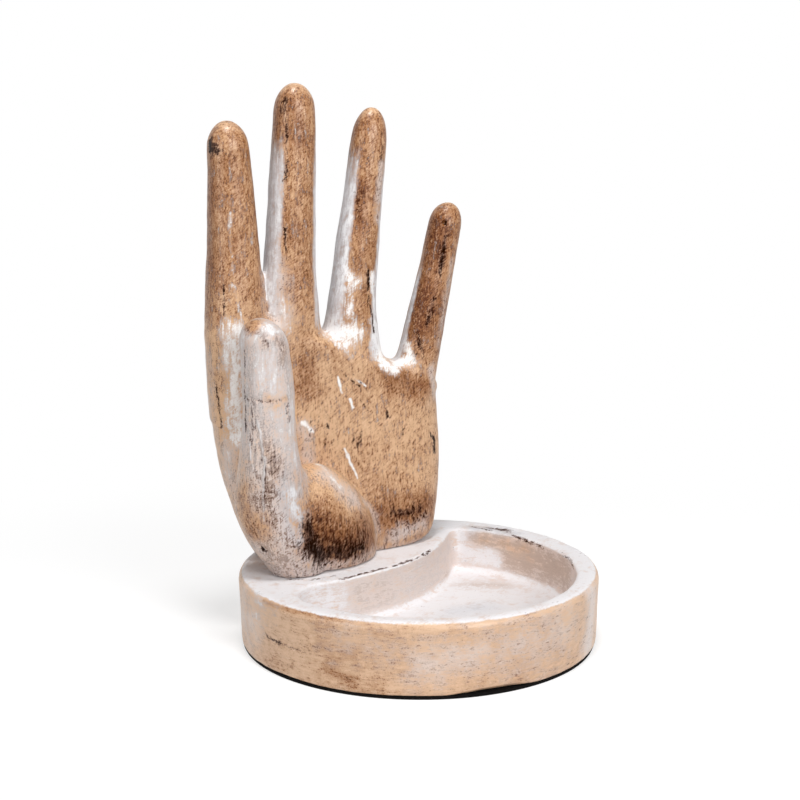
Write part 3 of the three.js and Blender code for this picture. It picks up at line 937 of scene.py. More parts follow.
HAND_STROKES: dict[str, Stroke] = {
    "index smudge": STAIN(2.8, 1.25, (211, 143), (214, 149)),
    "index smudge line": STAIN(0.8, 1, (208, 151.5), (215, 152), (222, 150), lift=-0.1),
    "index tip strokes": RUB(7, 0.75, (218, 160), (230, 168), (222, 182)),
    "index tip right": RUB(2.4, 0.7, (240, 142), (243, 152), (245, 170)),
    "index streak left": RUB(5, 0.75, (222, 205), (222, 240)),
    "index streak right": RUB(2, 0.55, (243, 232), (243, 262)),
    "index dashes": WASH(0.7, 0.5, (230, 214), (231, 235), (231, 255), (233, 275)),
    "index scratch low": WASH(0.8, 0.65, (233, 285), (238, 305), (242, 320)),
    "index dark line": STAIN(0.8, 0.7, (223, 285), (224, 300), (224, 316)),
    "index side line": STAIN(0.8, 0.8, (216, 385), (219, 405), (222, 427)),
    "index side rub": RUB(3.5, 0.8, (222, 318), (223, 345)),
    "strip beside thumb": WASH(
        4, 1, (233, 330), (234, 350), (235, 370), (235, 395), (235, 420), (233, 440)
    ),
    "strip low haze": HAZE(5, 1, (230, 450), (229, 470), (233, 490)),
    "strip low white": WASH(2.5, 0.6, (229, 455), (228, 475)),
    "middle tip dark left": STAIN(1.8, 0.75, (281, 112), (284, 106), (286, 98)),
    "middle tip rub": RUB(8, 1, (292, 104), (297, 122), (300, 140)),
    "middle knot": STAIN(1.2, 0.7, (301, 200), (303, 206)),
    "middle edge dark": STAIN(0.7, 0.8, (287, 118), (287, 135), (286, 150), lift=-0.15),
    "middle ledge": STAIN(0.6, 0.9, (287, 152), (286.5, 164), (286, 178), (283, 180), lift=0.3),
    "middle edge low": STAIN(0.8, 0.8, (285, 228), (285, 245), (287, 260), lift=-0.15),
    "middle flank white": WASH(2.6, 0.85, (274, 240), (274, 262)),
    "middle root haze": HAZE(5.5, 1, (276, 270), (276, 300), (280, 325)),
    "middle root white": WASH(2, 0.7, (282, 300), (286, 318), (289, 332)),
    "middle right rub": RUB(5, 0.75, (304, 245), (308, 275), (314, 305)),
    "ring tip rub": RUB(3, 0.8, (380, 117), (383, 126)),
    "ring tip strokes": RUB(4.5, 0.5, (368, 126), (375, 140), (373, 150)),
    "ring dark patch": RUB(4.6, 1.3, (358, 182), (358, 200), (359, 216), (362, 228)),
    "ring dark core": STAIN(2.2, 0.6, (358, 194), (358, 206), (359, 218)),
    "ring right edge": STAIN(1, 0.7, (382, 132), (382, 146), (381, 160)),
    "ring right grey": HAZE(2, 0.9, (381, 165), (379, 190), (377, 220)),
    "ring flank white": WASH(2.2, 1.1, (347, 215), (346, 240), (347, 262), (346, 285)),
    "ring right white": WASH(1.8, 1.1, (372, 275), (374, 292), (376, 312)),
    "ring edge line": STAIN(0.8, 1, (368, 270), (368, 290), (370, 304), (373, 318), (374, 332), lift=-0.2),
    "ring low flecks": WASH(2.4, 0.7, (356, 280), (354, 296), (350, 312)),
    "ring low rub": RUB(4, 0.85, (362, 250), (363, 275), (367, 300), (370, 330)),
    "web middle ring": WASH(5.5, 1.2, (331, 322), (336, 330), (342, 336), (350, 335)),
    "web ring little": WASH(
        3.6, 1.3, (376, 326), (377, 340), (379, 352), (385, 362), (394, 366), (403, 365), (410, 360)
    ),
    "little root white": WASH(2.4, 0.9, (404, 334), (405, 343), (408, 352)),
    "little rub": RUB(9, 1.75, (438, 228), (432, 255)),
    "little rub low": RUB(9, 1.75, (424, 290), (418, 320)),
    "little dark band": STAIN(1.8, 0.85, (446, 236), (442, 256), (440, 272)),
    "little dark band low": STAIN(2, 0.8, (434, 298), (431, 312), (427, 324)),
    "little root lines": STAIN(1.2, 0.85, (418, 334), (421, 346), (422, 356)),
    "little root mottle": STAIN(2.2, 0.5, (414, 346), (420, 356), (428, 360)),
    "little top dark": STAIN(1.8, 0.6, (434, 222), (432, 236)),
    # Painted rim light: a pale veil along the little finger's right edge.
    "little right rim light": HAZE(1.8, 0.6, (452, 260), (447, 290), (442, 320), (438, 345)),
    "palm corner rub": RUB(7, 1.05, (395, 378), (410, 385), (424, 385)),
    "palm edge haze": HAZE(2.4, 0.9, (433, 368), (434, 395)),
    "palm edge stain": STAIN(1.3, 1, (431, 434), (434, 440), (435, 452)),
    "palm left rub": RUB(8, 0.75, (305, 360), (308, 385)),
    "palm arcs": STAIN(0.9, 0.75, (362, 432), (361, 440), (357, 447)),
    "palm arcs inner": STAIN(0.8, 0.7, (355, 434), (353, 446)),
    "palm comb a": STAIN(0.5, 0.7, (319, 415), (317, 432)),
    "palm comb b": STAIN(0.5, 0.7, (328, 430), (325, 444)),
    "palm comb c": STAIN(0.5, 0.7, (335, 428), (332, 446)),
    "palm comb d": STAIN(0.5, 0.65, (311, 420), (310, 436)),
    "palm spot a": STAIN(1, 0.9, (387, 412), (388, 417), lift=-0.3),
    "palm spot b": STAIN(0.8, 0.8, (403, 428), (403, 433), lift=-0.25),
    "palm spot c": STAIN(0.8, 1, (328, 424), (328, 428), lift=-0.25),
    "palm scratch white a": WASH(0.5, 1.2, (338.5, 377), (340, 385), (342, 393), lift=-0.15),
    "palm scratch white b": WASH(0.55, 1.2, (350.5, 399), (352, 404), (354, 408), lift=-0.15),
    "palm scratch white c": WASH(0.55, 1.2, (356, 379), (361, 383), (366, 386), lift=-0.15),
    "palm scratch dark a": STAIN(0.45, 0.9, (341, 370), (348, 377), (356, 384), (361, 388), lift=-0.15),
    "palm scratch dark b": STAIN(0.45, 0.8, (353, 374), (360, 382), (368, 391), lift=-0.15),
    "palm scratch dark c": STAIN(0.5, 0.7, (352, 392), (362, 402), (370, 412), lift=-0.15),
    "palm tick": WASH(1, 1.2, (302, 422), (307, 425), (311, 431), lift=-0.12),
    "palm white curve": WASH(0.6, 1.2, (344, 448), (348, 457), (352, 466), (357, 478), lift=-0.15),
    "heel dark": STAIN(4.5, 0.8, (394, 514), (406, 511), (418, 507)),
    "heel dark low": STAIN(3, 0.65, (398, 524), (412, 520), (424, 514)),
    "heel grey": HAZE(4, 0.8, (390, 538), (408, 531), (424, 524)),
    "heel grey chill": CHILL(4, 0.5, (398, 530), (412, 526), (424, 522)),
    "heel rub": RUB(10, 1.2, (384, 520), (405, 514), (424, 506)),
    "groove high": HAZE(4, 0.8, (303, 430), (306, 444), (308, 458)),
    "groove": HAZE(4.5, 0.95, (326, 474), (342, 488), (356, 498)),
    "groove streaks": WASH(1.6, 0.75, (316, 464), (328, 474), (340, 486)),
    "groove low": HAZE(3.4, 0.95, (364, 500), (372, 514), (376, 530), (376, 545)),
    "mound rub": RUB(13, 0.5, (322, 506), (344, 520), (360, 533)),
    "mound brown": STAIN(10, 0.8, (314, 538), (334, 550), (358, 545)),
    "mound black": STAIN(5.5, 1.05, (308, 528), (312, 542), (322, 556)),
    "mound black right": STAIN(5, 0.95, (328, 556), (345, 554), (362, 547)),
    "mound lower haze": HAZE(3, 0.8, (306, 570), (326, 569), (350, 562), (370, 554)),
    "mound left white": WASH(2.6, 0.8, (293, 494), (296, 515), (300, 540)),
    "mound left chill": CHILL(4, 0.9, (293, 492), (296, 515), (300, 540)),
    # Partly a dark seam line and partly painted shade in the gap between the thumb and the index finger.
    "thumb left seam and shade": STAIN(0.9, 0.8, (244.5, 350), (244.5, 370), (245, 400), (246, 430)),
    # Partly cream paint and partly a painted highlight at the top of the thumb tip.
    "thumb tip cream and highlight": WASH(3, 0.9, (262, 326), (272, 333)),
    "thumb tip tan": PAINT(3, 0.9, (250, 325), (257, 323)),
    "thumb upper white": WASH(3.4, 0.6, (274, 372), (276, 384), (272, 394)),
    "thumb streak": WASH(1.4, 0.6, (254, 362), (254, 380), (256, 395)),
    "thumb streak b": WASH(1.2, 0.55, (262, 350), (262, 372), (263, 398)),
    "thumb spot right": STAIN(1.4, 0.5, (281, 345), (283, 350)),
    "thumb spot left": STAIN(1.6, 0.45, (266, 342), (268, 346)),
    "thumb break": STAIN(1, 0.6, (248, 400), (258, 401), (270, 402), (286, 399), lift=-0.2),
    "thumb break brown": PAINT(2.4, 0.35, (268, 402), (278, 403), (286, 402)),
    "thumb left mottle": STAIN(3.5, 0.4, (250, 405), (252, 425), (254, 445)),
    "thumb brown mottle": STAIN(4.2, 0.42, (268, 450), (274, 462), (272, 476)),
    "thumb low mottle": STAIN(7, 0.45, (268, 490), (270, 512)),
    "thumb right dots": STAIN(1.2, 0.6, (288, 405), (289, 420)),
    "thumb low left paint": PAINT(8, 0.25, (240, 470), (246, 495), (254, 525)),
    "thumb crack": WASH(
        0.7, 1.2, (258, 421), (261, 440), (265, 463), (263, 481), (263.5, 500), (263.5, 521), lift=0.35
    ),
    "thumb crack shade": STAIN(0.5, 0.65, (266, 466), (265, 482), (265.5, 500), (265.5, 520), lift=-0.35),
    "thumb chip top": WASH(0.6, 1, (250, 444), (259, 443), lift=0.3),
    "thumb chip side": WASH(0.5, 1, (250, 445), (251, 458), (253, 470), lift=0.3),
    "thumb chip shade": STAIN(0.6, 0.6, (254, 472), (260, 471)),
    # Painted rim light: a bluish-white strip along the thumb's right edge.
    "thumb right rim light": WASH(2.4, 0.65, (290, 398), (292, 420), (295, 445), (296, 462)),
    "thumb right bluish rim light": CHILL(3.2, 0.6, (290, 400), (292, 425), (294, 450), (293, 470)),
    "thumb front chill": CHILL(4, 0.7, (272, 372), (276, 392), (274, 412)),
    "thumb low chill": CHILL(6, 0.9, (280, 480), (288, 505), (292, 535)),
    "thumb low white": WASH(3.5, 0.5, (286, 490), (292, 510), (297, 535)),
    "thumb heel haze": HAZE(8, 0.95, (262, 550), (280, 562), (300, 566)),
    "thumb pit": STAIN(1.2, 1.4, (263, 549), (264, 550), lift=-0.8),
    "mound rub low": RUB(12, 1.5, (316, 530), (340, 545), (362, 542)),
    "thumb low haze": HAZE(10, 1.2, (262, 470), (264, 505)),
    "thumb low rub": RUB(9, 0.45, (250, 480), (256, 510), (262, 535)),
    "thumb mid rub": RUB(7, 0.4, (256, 410), (262, 440), (266, 470)),
    "thumb mid white": WASH(4, 0.45, (270, 412), (274, 430), (278, 450)),
    "thumb mid murk": MURK(6, 0.2, (252, 405), (258, 430), (262, 455), (268, 475)),
    "thumb left murk": MURK(3, 0.22, (250, 350), (250, 380), (251, 400)),
    "thumb right murk": MURK(3, 0.22, (286, 350), (288, 375), (289, 395)),
    "thumb low murk": MURK(8, 0.3, (258, 500), (266, 530), (280, 556)),
    "strip beside thumb haze": HAZE(4.5, 0.8, (232, 335), (234, 370)),
    "thumb low right haze": HAZE(9, 1.2, (272, 495), (278, 525), (284, 552)),
    "thumb mid brown": MURK(4, 0.5, (266, 446), (272, 462), (270, 478), (268, 500)),
    "thumb top brown": MURK(2.4, 0.55, (280, 340), (284, 350), (282, 358)),
    "thumb top brown left": MURK(2.2, 0.5, (262, 338), (266, 345)),
    "little pinhole": STAIN(1.1, 1.6, (444, 222.5), (444.3, 223.5), lift=-1.6),
    "back wrist haze": HAZE(8, 0.75, (-50, 52, 45), (-25, 54, 38), (5, 53, 42)),
    "back thumb edge white": WASH(5, 0.8, (-70, 46, 70), (-71, 45, 95), (-70, 45, 118)),
    "back middle rub": RUB(12, 0.7, (-35, 53, 95), (-20, 54, 75), (-5, 54, 60)),
    "back little edge haze": HAZE(6, 0.8, (28, 48, 50), (31, 48, 75), (29, 47, 95)),
    "back low stain": STAIN(5, 0.55, (-5, 53, 36), (12, 52, 34), (22, 50, 36)),
    "back index rub": RUB(6, 0.9, (-62, 47, 150), (-62, 47, 175)),
    "back ring rub": RUB(5, 0.9, (-6, 46, 150), (-4, 46, 175)),
    "back knuckle white": WASH(4, 0.7, (-51, 50, 114), (-49, 48, 122)),
    "back knuckle white low": WASH(4, 0.7, (-27, 50, 104), (-25, 48, 112)),
    "outer edge rub": RUB(13, 0.5, (-71, 38, 122), (-72, 38, 108)),
    "outer edge rub low": RUB(11, 0.32, (-72, 38, 100), (-70, 38, 72)),
}

TRAY_STROKES: dict[str, Stroke] = {
    "wall smudge": STAIN(1.4, 0.65, (266, 635), (273, 640), (281, 644)),
    "wall smudge tail": STAIN(0.9, 0.45, (283, 645), (297, 649), (313, 653)),
    "wall ring smudge": RUB(3, 0.62, (324, 662), (326, 656), (333, 654), (340, 658)),
    "wall low smudge": RUB(3.6, 0.68, (326, 668), (340, 675), (356, 682)),
    "wall low smudge core": STAIN(1.4, 0.4, (346, 678), (358, 682)),
    "wall drip": WASH(0.7, 0.8, (256.5, 613), (256.5, 624)),
    "wall worn": HAZE(9, 0.62, (425, 665), (450, 658), (480, 652)),
    "wall worn left": HAZE(7, 0.3, (335, 640), (365, 645), (395, 655)),
    "wall worn right": HAZE(14, 0.54, (510, 645), (535, 640), (560, 630)),
    "wall left haze": HAZE(5, 0.5, (244, 592), (245, 620), (250, 645)),
    "wall right haze": HAZE(8, 0.9, (592, 590), (591, 620), (588, 645)),
    "wall mark": RUB(2.2, 0.55, (428, 651), (437, 655)),
    "wall mark right": RUB(2, 0.4, (562, 651), (570, 646), (576, 643)),
    "wall low flecks": RUB(5, 0.4, (400, 672), (430, 676), (460, 670)),
    "wall edge line": RUB(
        1.3, 0.8, (263, 601), (278, 607), (292, 611), (310, 614), (340, 618), (375, 620), (410, 620)
    ),
    "wall edge line right": RUB(1.4, 0.9, (525, 613), (545, 607), (560, 601)),
    "rim stain": STAIN(2.2, 0.58, (470, 526.5), (490, 528.5), (508, 531)),
    "rim stain chill": CHILL(3, 1, (474, 528), (492, 529), (512, 533)),
    "rim stain right": STAIN(1.1, 0.72, (512, 535), (522, 539), (532, 543), (544, 548)),
    "rim inner edge": STAIN(0.8, 0.75, (562, 552), (570, 560), (574, 570)),
    "well back paint": PAINT(3.2, 0.3, (484, 538), (505, 543), (528, 551)),
    "well back rub": RUB(3, 0.45, (484, 538), (505, 543), (528, 551)),
    "well back white": WASH(5, 1.3, (460, 540), (466, 552), (480, 556), (494, 558)),
    "well corner line": STAIN(0.5, 0.45, (450, 535), (453, 550)),
    "well wall grey": MURK(6, 0.6, (515, 556), (535, 561), (552, 567), (566, 574)),
    "floor chill": CHILL(6, 1, (455, 612), (485, 607)),
    "floor thin": MURK(9, 0.42, (470, 585), (500, 585)),
    "plinth line": STAIN(
        0.75, 1, (340, 579), (349, 577), (360, 574), (372, 571), (384, 568), (395, 565), (405, 561.5),
        (414, 558), (423, 554), (431, 550), lift=-0.35
    ),
    "plinth line thick": STAIN(1, 0.3, (410, 559), (420, 555), (430, 550), lift=-0.25),
    "plinth left white": WASH(11, 1, (290, 590), (310, 596), (335, 602)),
    # Painted contact shadow on the tray top round the hand's heel.
    "heel contact shadow": STAIN(1.6, 0.6, (290, 579), (310, 580), (335, 576)),
    "rim stain core": STAIN(0.8, 0.95, (477, 528), (486, 529.5), (492, 530)),
    "well back murk": MURK(3.6, 0.45, (478, 536), (500, 540), (524, 548)),
    "plinth wall murk": MURK(5, 0.12, (360, 594), (385, 590)),
    "wall left rub": RUB(12, 0.5, (320, 648), (350, 655)),
    "wall left stain": STAIN(5, 0.15, (300, 645), (330, 655)),
    "rim stain haze": MURK(3, 0.5, (468, 526), (490, 528), (512, 533)),
    "rear wall smudge": RUB(4, 0.65, (-50, 50, 14), (-42, 57, 12)),
    "rear wall haze": HAZE(9, 0.6, (20, 68, 15), (40, 58.5, 14)),
    "side wall smudge": RUB(3, 0.6, (70, 6, 12), (69, 16, 10)),
    "left wall haze": HAZE(8, 0.6, (-70, -4, 16), (-69, 18, 14)),
}

# Each coat is the greatest of its blends, and a blend adds zones of the wood up by their shares.
HAND_COATS: Coats = {
    "wash": ({"all": -0.45, "sides": 1.05, "hollows": 1.0}, {"thumb": 0.12, "thumb_top": 0.35}),
    "haze": (
        {"all": -0.5, "sides": 1.5},
        {"all": -0.5, "thumb": 1.25, "thumb_top": 0.15},
        {"all": -0.5, "low": 1.2},
        {"all": -0.5, "edge": 0.9},
        {"all": -0.5, "dips": 1.0},
    ),
    "rub": (
        # On the fingers, more rub on their sideways faces (rim) is partly glaze and partly painted edge
        # shade; less rub on their up-facing tops (cap) is a painted highlight.
        {"all": 0.14, "fingers": 0.52, "palm": 0.26, "rim": 0.25, "low": 0.2, "thumb": 0.2, "cap": -0.35},
    ),
    "chill": ({"sides": 0.7}, {"thumb": 0.45}),
    # Painted contact shadow: a dark band along the bottom of the hand, laid with the stain coat.
    "stain": ({"contact_shadow": 0.45},),
}
TRAY_COATS: Coats = {
    "wash": ({"all": -0.45, "inside": 1.55, "inner_wall": -0.75},),
    "haze": ({"all": -0.4, "inside": 1.5, "inner_wall": -0.15},),
    "rub": ({"all": 0.24, "upright": 0.06, "inside": -0.14},),
}


@dataclass
class WoodPiece(ABC):
    """A wooden piece with the shape of its CAD node, worked and painted by hand.

    Attributes:
        node: CAD node that the piece replaces.
        name: Name of the piece.
        voxel: Spacing of the points of its skin.
        filled: How often the inner corners are rounded out.
        sanded: How often the skin is sanded.
        waves: Height, width and pattern of the unevenness that handwork leaves.
        margin: How far the skin is refined around cuts and ridges.
        strokes: Strokes laid on the piece and marks cut into it.
        coats: Shares of the piece's zones in each coat.
        finish: Painted finish.
    """

    node: str
    name: str
    voxel: float
    filled: int
    sanded: int
    waves: tuple[Wave, ...]
    margin: float
    strokes: dict[str, Stroke]
    coats: Coats
    finish: PaintedWood

    @abstractmethod
    def zones(self, skin: Skin) -> dict[str, np.ndarray]:
        """Gives 0 to 1 per point for each zone of the piece."""

    def build(self) -> list[bpy.types.Object]:
        """Shapes, coats and dresses the piece.

        Returns:
            The one finished piece.
        """
        skin = Skin(self.node, self.voxel)
        skin.fill(self.filled)
        skin.smooth(self.sanded)
        for wave in self.waves:
            skin.roughen(*wave)
        strokes = VIEW.lay(self.node, self.strokes.values())
        marks = [stroke for stroke in strokes if stroke.lift]
        skin.refine(marks, self.margin)
        skin.cut(marks)
        zones = self.zones(skin)
        for coat, blends in self.coats.items():
            sums = [sum(share * zones[zone] for zone, share in blend.items()) for blend in blends]
            skin.coats[coat] = np.maximum.reduce(sums)
        skin.coat(strokes)
        piece = skin.store(self.name)
        piece.data.materials.append(self.finish.material())
        return [enlist(piece, self.node)]


@dataclass
class CarvedHand(WoodPiece):
    """The hand: carved from one block, painted tan, washed white between the fingers.

    Attributes:
        heel: Height of the cut on which the hand stands.
        knuckles: Height of the line of knuckles in the middle of the stand.
        knuckle_slope: How fast that line falls towards the little finger.
        knuckle_fade: How far below and above the line the fingers' rub begins and is full.
        hollow_width: How widely hollows are looked for.
        index, middle, ring, little: Wash on the fingers.
        thumb: Line of the thumb.
        thumb_reach: How far the thumb's wash reaches from that line.
    """

    node: str = "hand"
    name: str = "carved_hand"
    voxel: float = 0.8
    filled: int = 45
    sanded: int = 30
    waves: tuple[Wave, ...] = ((0.45, 22.0, 3.1), (0.14, 6.0, 8.4))
    margin: float = 1.2
    strokes: dict[str, Stroke] = field(default_factory=HAND_STROKES.copy)
    coats: Coats = field(default_factory=HAND_COATS.copy)
    finish: PaintedWood = PaintedWood(
        "painted_wood", paint=(214, 174, 136), deep=(166, 119, 79), pale=(226, 193, 160)
    )
    heel: float = 29.0
    knuckles: float = 96.0
    knuckle_slope: float = 0.42
    knuckle_fade: tuple[float, float] = (-24.0, 26.0)
    hollow_width: int = 24
    index: Finger = Finger((-60.9, 40, 119.6), (-62.9, 40, 202.1), 0, (20, 20), 12)
    middle: Finger = Finger((-39.4, 39.4, 110.5), (-34.4, 39.4, 216.6), 50, (50, 50), 13)
    ring: Finger = Finger((-14, 39.1, 99.7), (-1.8, 39.1, 206.9), 46, (66, 48), 8)
    little: Finger = Finger((14.5, 39.5, 87.6), (32.75, 39.5, 168.6), 18, (6, 2), 16)
    thumb: tuple[Point, ...] = (
        (-45, 12, 25), (-49.5, 13.5, 40), (-55, 13.5, 56), (-57.8, 11, 72),
        (-58.6, 9, 89), (-59, 8.5, 104), (-60.2, 8.5, 119), (-62, 8.5, 130.2),
    )
    thumb_reach: float = 17.0

    def zones(self, skin: Skin) -> dict[str, np.ndarray]:
        """Finds the hand's zones.

        Args:
            skin: Shaped skin of the hand.

        Returns:
            0 to 1 per point for each zone.
        """
        points, normals = skin.points, skin.normals()
        height, sideways = points[:, 2], np.abs(normals[:, 0])
        hollow = skin.hollows(self.hollow_width)
        line = self.knuckles - self.knuckle_slope * points[:, 0]
        fingers = smoothstep(*self.knuckle_fade, height - line)
        thumb = np.zeros(len(points))
        under, share = HAZE(self.thumb_reach, 1.0, *self.thumb).cover(points, self.thumb_reach)
        thumb[under] = smoothstep(0.0, 0.3, share)
        four = (self.index, self.middle, self.ring, self.little)
        return {
            "all": np.ones(len(points)),
            "sides": np.maximum.reduce([finger.wash(points) for finger in four]),
            "hollows": smoothstep(0.12, 0.5, hollow),
            "dips": smoothstep(0.02, 0.4, hollow),
            "low": 1.0 - smoothstep(0.0, 7.0, height - self.heel),
            # Painted contact shadow: the band within 3 mm of the heel's cut.
            "contact_shadow": 1.0 - smoothstep(0.0, 3.0, height - self.heel),
            "fingers": fingers,
            "palm": smoothstep(90.0, 45.0, height) * (1.0 - fingers),
            "edge": smoothstep(0.7, 0.95, sideways) * (1.0 - fingers),
            # rim: sideways finger faces, darkened partly as glaze and partly as painted edge shade; cap:
            # up-facing finger tops, kept paler as a painted highlight.
            "rim": smoothstep(0.75, 0.95, sideways) * fingers,
            "cap": smoothstep(0.35, 0.8, normals[:, 2]) * fingers,
            "thumb": thumb,
            "thumb_top": thumb * smoothstep(45.0, 110.0, height),
        }


@dataclass
class TurnedTray(WoodPiece):
    """The tray: turned outside, its well cut by hand, painted outside and washed on top.

    Attributes:
        radius: Radius of the outer wall.
        shoulder: How far inside that radius the wall's paint begins and is full.
    """

    node: str = "tray_base"
    name: str = "turned_tray"
    voxel: float = 0.86
    filled: int = 6
    sanded: int = 16
    waves: tuple[Wave, ...] = ((0.3, 26.0, 1.7), (0.1, 6.0, 5.2))
    margin: float = 1.2
    strokes: dict[str, Stroke] = field(default_factory=TRAY_STROKES.copy)
    coats: Coats = field(default_factory=TRAY_COATS.copy)
    finish: PaintedWood = PaintedWood(
        "whitewashed_wood",
        paint=(214, 179, 148),
        deep=(170, 126, 88),
        pale=(232, 208, 187),
        brown=(104, 62, 36),
        white=(231, 229, 231),
        rosy=(218, 207, 203),
        dusk=(187, 164, 149),
        grain=(9, 9, 1),
        turn=(0, 90, 28),
        speckle=0.6,
        soft=0.55,
    )
    radius: float = 71.0
    shoulder: tuple[float, float] = (4.0, 2.0)

    def zones(self, skin: Skin) -> dict[str, np.ndarray]:
        """Finds the tray's zones.

        Args:
            skin: Shaped skin of the tray.

        Returns:
            0 to 1 per point for each zone.
        """
        points, normals = skin.points, skin.normals()
        radius = np.hypot(points[:, 0], points[:, 1])
        outward = np.sum(points[:, :2] * normals[:, :2], axis=1) / np.maximum(radius, 1.0)
        begins, full = (self.radius - inset for inset in self.shoulder)
        wall = smoothstep(0.45, 0.8, outward) * smoothstep(begins, full, radius)
        under = smoothstep(0.5, 0.8, -normals[:, 2])
        upright = 1.0 - smoothstep(0.2, 0.6, np.abs(normals[:, 2]))
        inside = 1.0 - np.maximum(wall, under)
        return {
            "all": np.ones(len(points)),
            "upright": upright,
            "inside": inside,
            "inner_wall": inside * upright,
        }


@dataclass
class FeltPad:
    """The thin felt disc glued under the tray.

    Attributes:
        bulge: How far its edge bulges.
        steps: Corners of the disc.
        fibre: Length of a loose fibre at the edge.
        fibre_width: Radius of a fibre at its root.
        density: Fibres per square metre of the edge.
        steepness: Fibres grow where the surface leans less than this.
        seed: Fixes where they grow.
        crease: Angle from which an edge stays sharp, in degrees.
        finish: Felt.
    """

    bulge: float = 0.25
    steps: int = 144
    fibre: float = 0.55
    fibre_width: float = 0.035
    density: float = 1.1e6
    steepness: float = 0.6
    seed: int = 7
    crease: float = 50.0
    finish: Felt = Felt()

    def build(self) -> list[bpy.types.Object]:
        """Makes the disc and its loose edge fibres, inside the CAD node's box.

        Returns:
            The pad as one piece.
        """
        low, high = (np.array(corner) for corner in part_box("base_pad"))
        disc = self._disc((high[0] - low[0]) / 2, low[2], high[2])
        jig = Jig("felt_edge")
        mesh = jig.make(self._fibres(jig), self.finish.material(), disc)
        points = np.empty(len(mesh.vertices) * 3, dtype=np.float32)
        mesh.vertices.foreach_get("co", points)
        points = np.clip(points.reshape(-1, 3), low, high)
        mesh.vertices.foreach_set("co", points.astype(np.float32).ravel())
        mesh.update()
        return [enlist(place("felt_pad", mesh), "base_pad")]

    def _fibres(self, jig: Jig) -> bpy.types.NodeSocket:
        """Grows loose fibres on the edge of the disc.

        Args:
            jig: Tree to build in.

        Returns:
            Socket with the fibres.
        """
        length = jig.size("Fibre length", self.fibre * MM)
        width = jig.size("Fibre width", self.fibre_width * MM)
        density = jig.size("Density", self.density)
        seed = jig.size("Seed", self.seed)
        lean = jig.node("ShaderNodeSeparateXYZ", {0: jig.node("GeometryNodeInputNormal", {}).outputs[0]})
        steep = jig.node("ShaderNodeMath", {0: lean.outputs["Z"]}, operation="ABSOLUTE").outputs[0]
        inputs = {0: steep, 1: self.steepness}
        side = jig.node("FunctionNodeCompare", inputs, operation="LESS_THAN").outputs[0]
        spread = jig.node(
            "GeometryNodeDistributePointsOnFaces",
            {"Mesh": jig.shape, "Selection": side, "Density": density, "Seed": seed},
        )
        cone = jig.node(
            "GeometryNodeMeshCone",
            {"Vertices": 3, "Radius Top": 0.0, "Radius Bottom": width, "Depth": length},
            fill_type="NONE",
        ).outputs["Mesh"]
        tilt = jig.node(
            "FunctionNodeRandomValue",
            {0: (-1.0, -1.0, -1.0), 1: (1.0, 1.0, 1.0), "Seed": seed},
            data_type="FLOAT_VECTOR",
        ).outputs[0]
        turned = jig.node(
            "FunctionNodeRotateRotation", {0: spread.outputs["Rotation"], 1: tilt}, rotation_space="LOCAL"
        ).outputs[0]
        inputs = {"Points": spread.outputs["Points"], "Instance": cone, "Rotation": turned}
        return jig.node("GeometryNodeInstanceOnPoints", inputs).outputs[0]

    def _disc(self, radius: float, low: float, high: float) -> bpy.types.Mesh:
        """Makes the disc with a softly rounded edge.

        Args:
            radius: Radius, in metres.
            low: Height of the underside.
            high: Height of the upper side.

        Returns:
            The closed mesh.
        """
        bulge = self.bulge * MM
        profile = [
            (radius - 3 * bulge, low),
            (radius - 0.6 * bulge, low),
            (radius - 0.2 * bulge, low + bulge),
        ]
        profile += [(r, low + high - z) for r, z in reversed(profile)]
        angles = [math.tau * step / self.steps for step in range(self.steps)]
        shell = bmesh.new()
        rings = [
            [shell.verts.new((r * math.cos(angle), r * math.sin(angle), z)) for angle in angles]
            for r, z in profile
        ]
        for one, two in zip(rings[:-1], rings[1:]):
            for step in range(self.steps):
                after = (step + 1) % self.steps
                shell.faces.new((one[step], one[after], two[after], two[step]))
        shell.faces.new(reversed(rings[0]))
        shell.faces.new(rings[-1])
        mesh = bpy.data.meshes.new("felt_disc")
        shell.to_mesh(mesh)
        shell.free()
        mesh.shade_smooth()
        mesh.set_sharp_from_angle(angle=math.radians(self.crease))
        return mesh


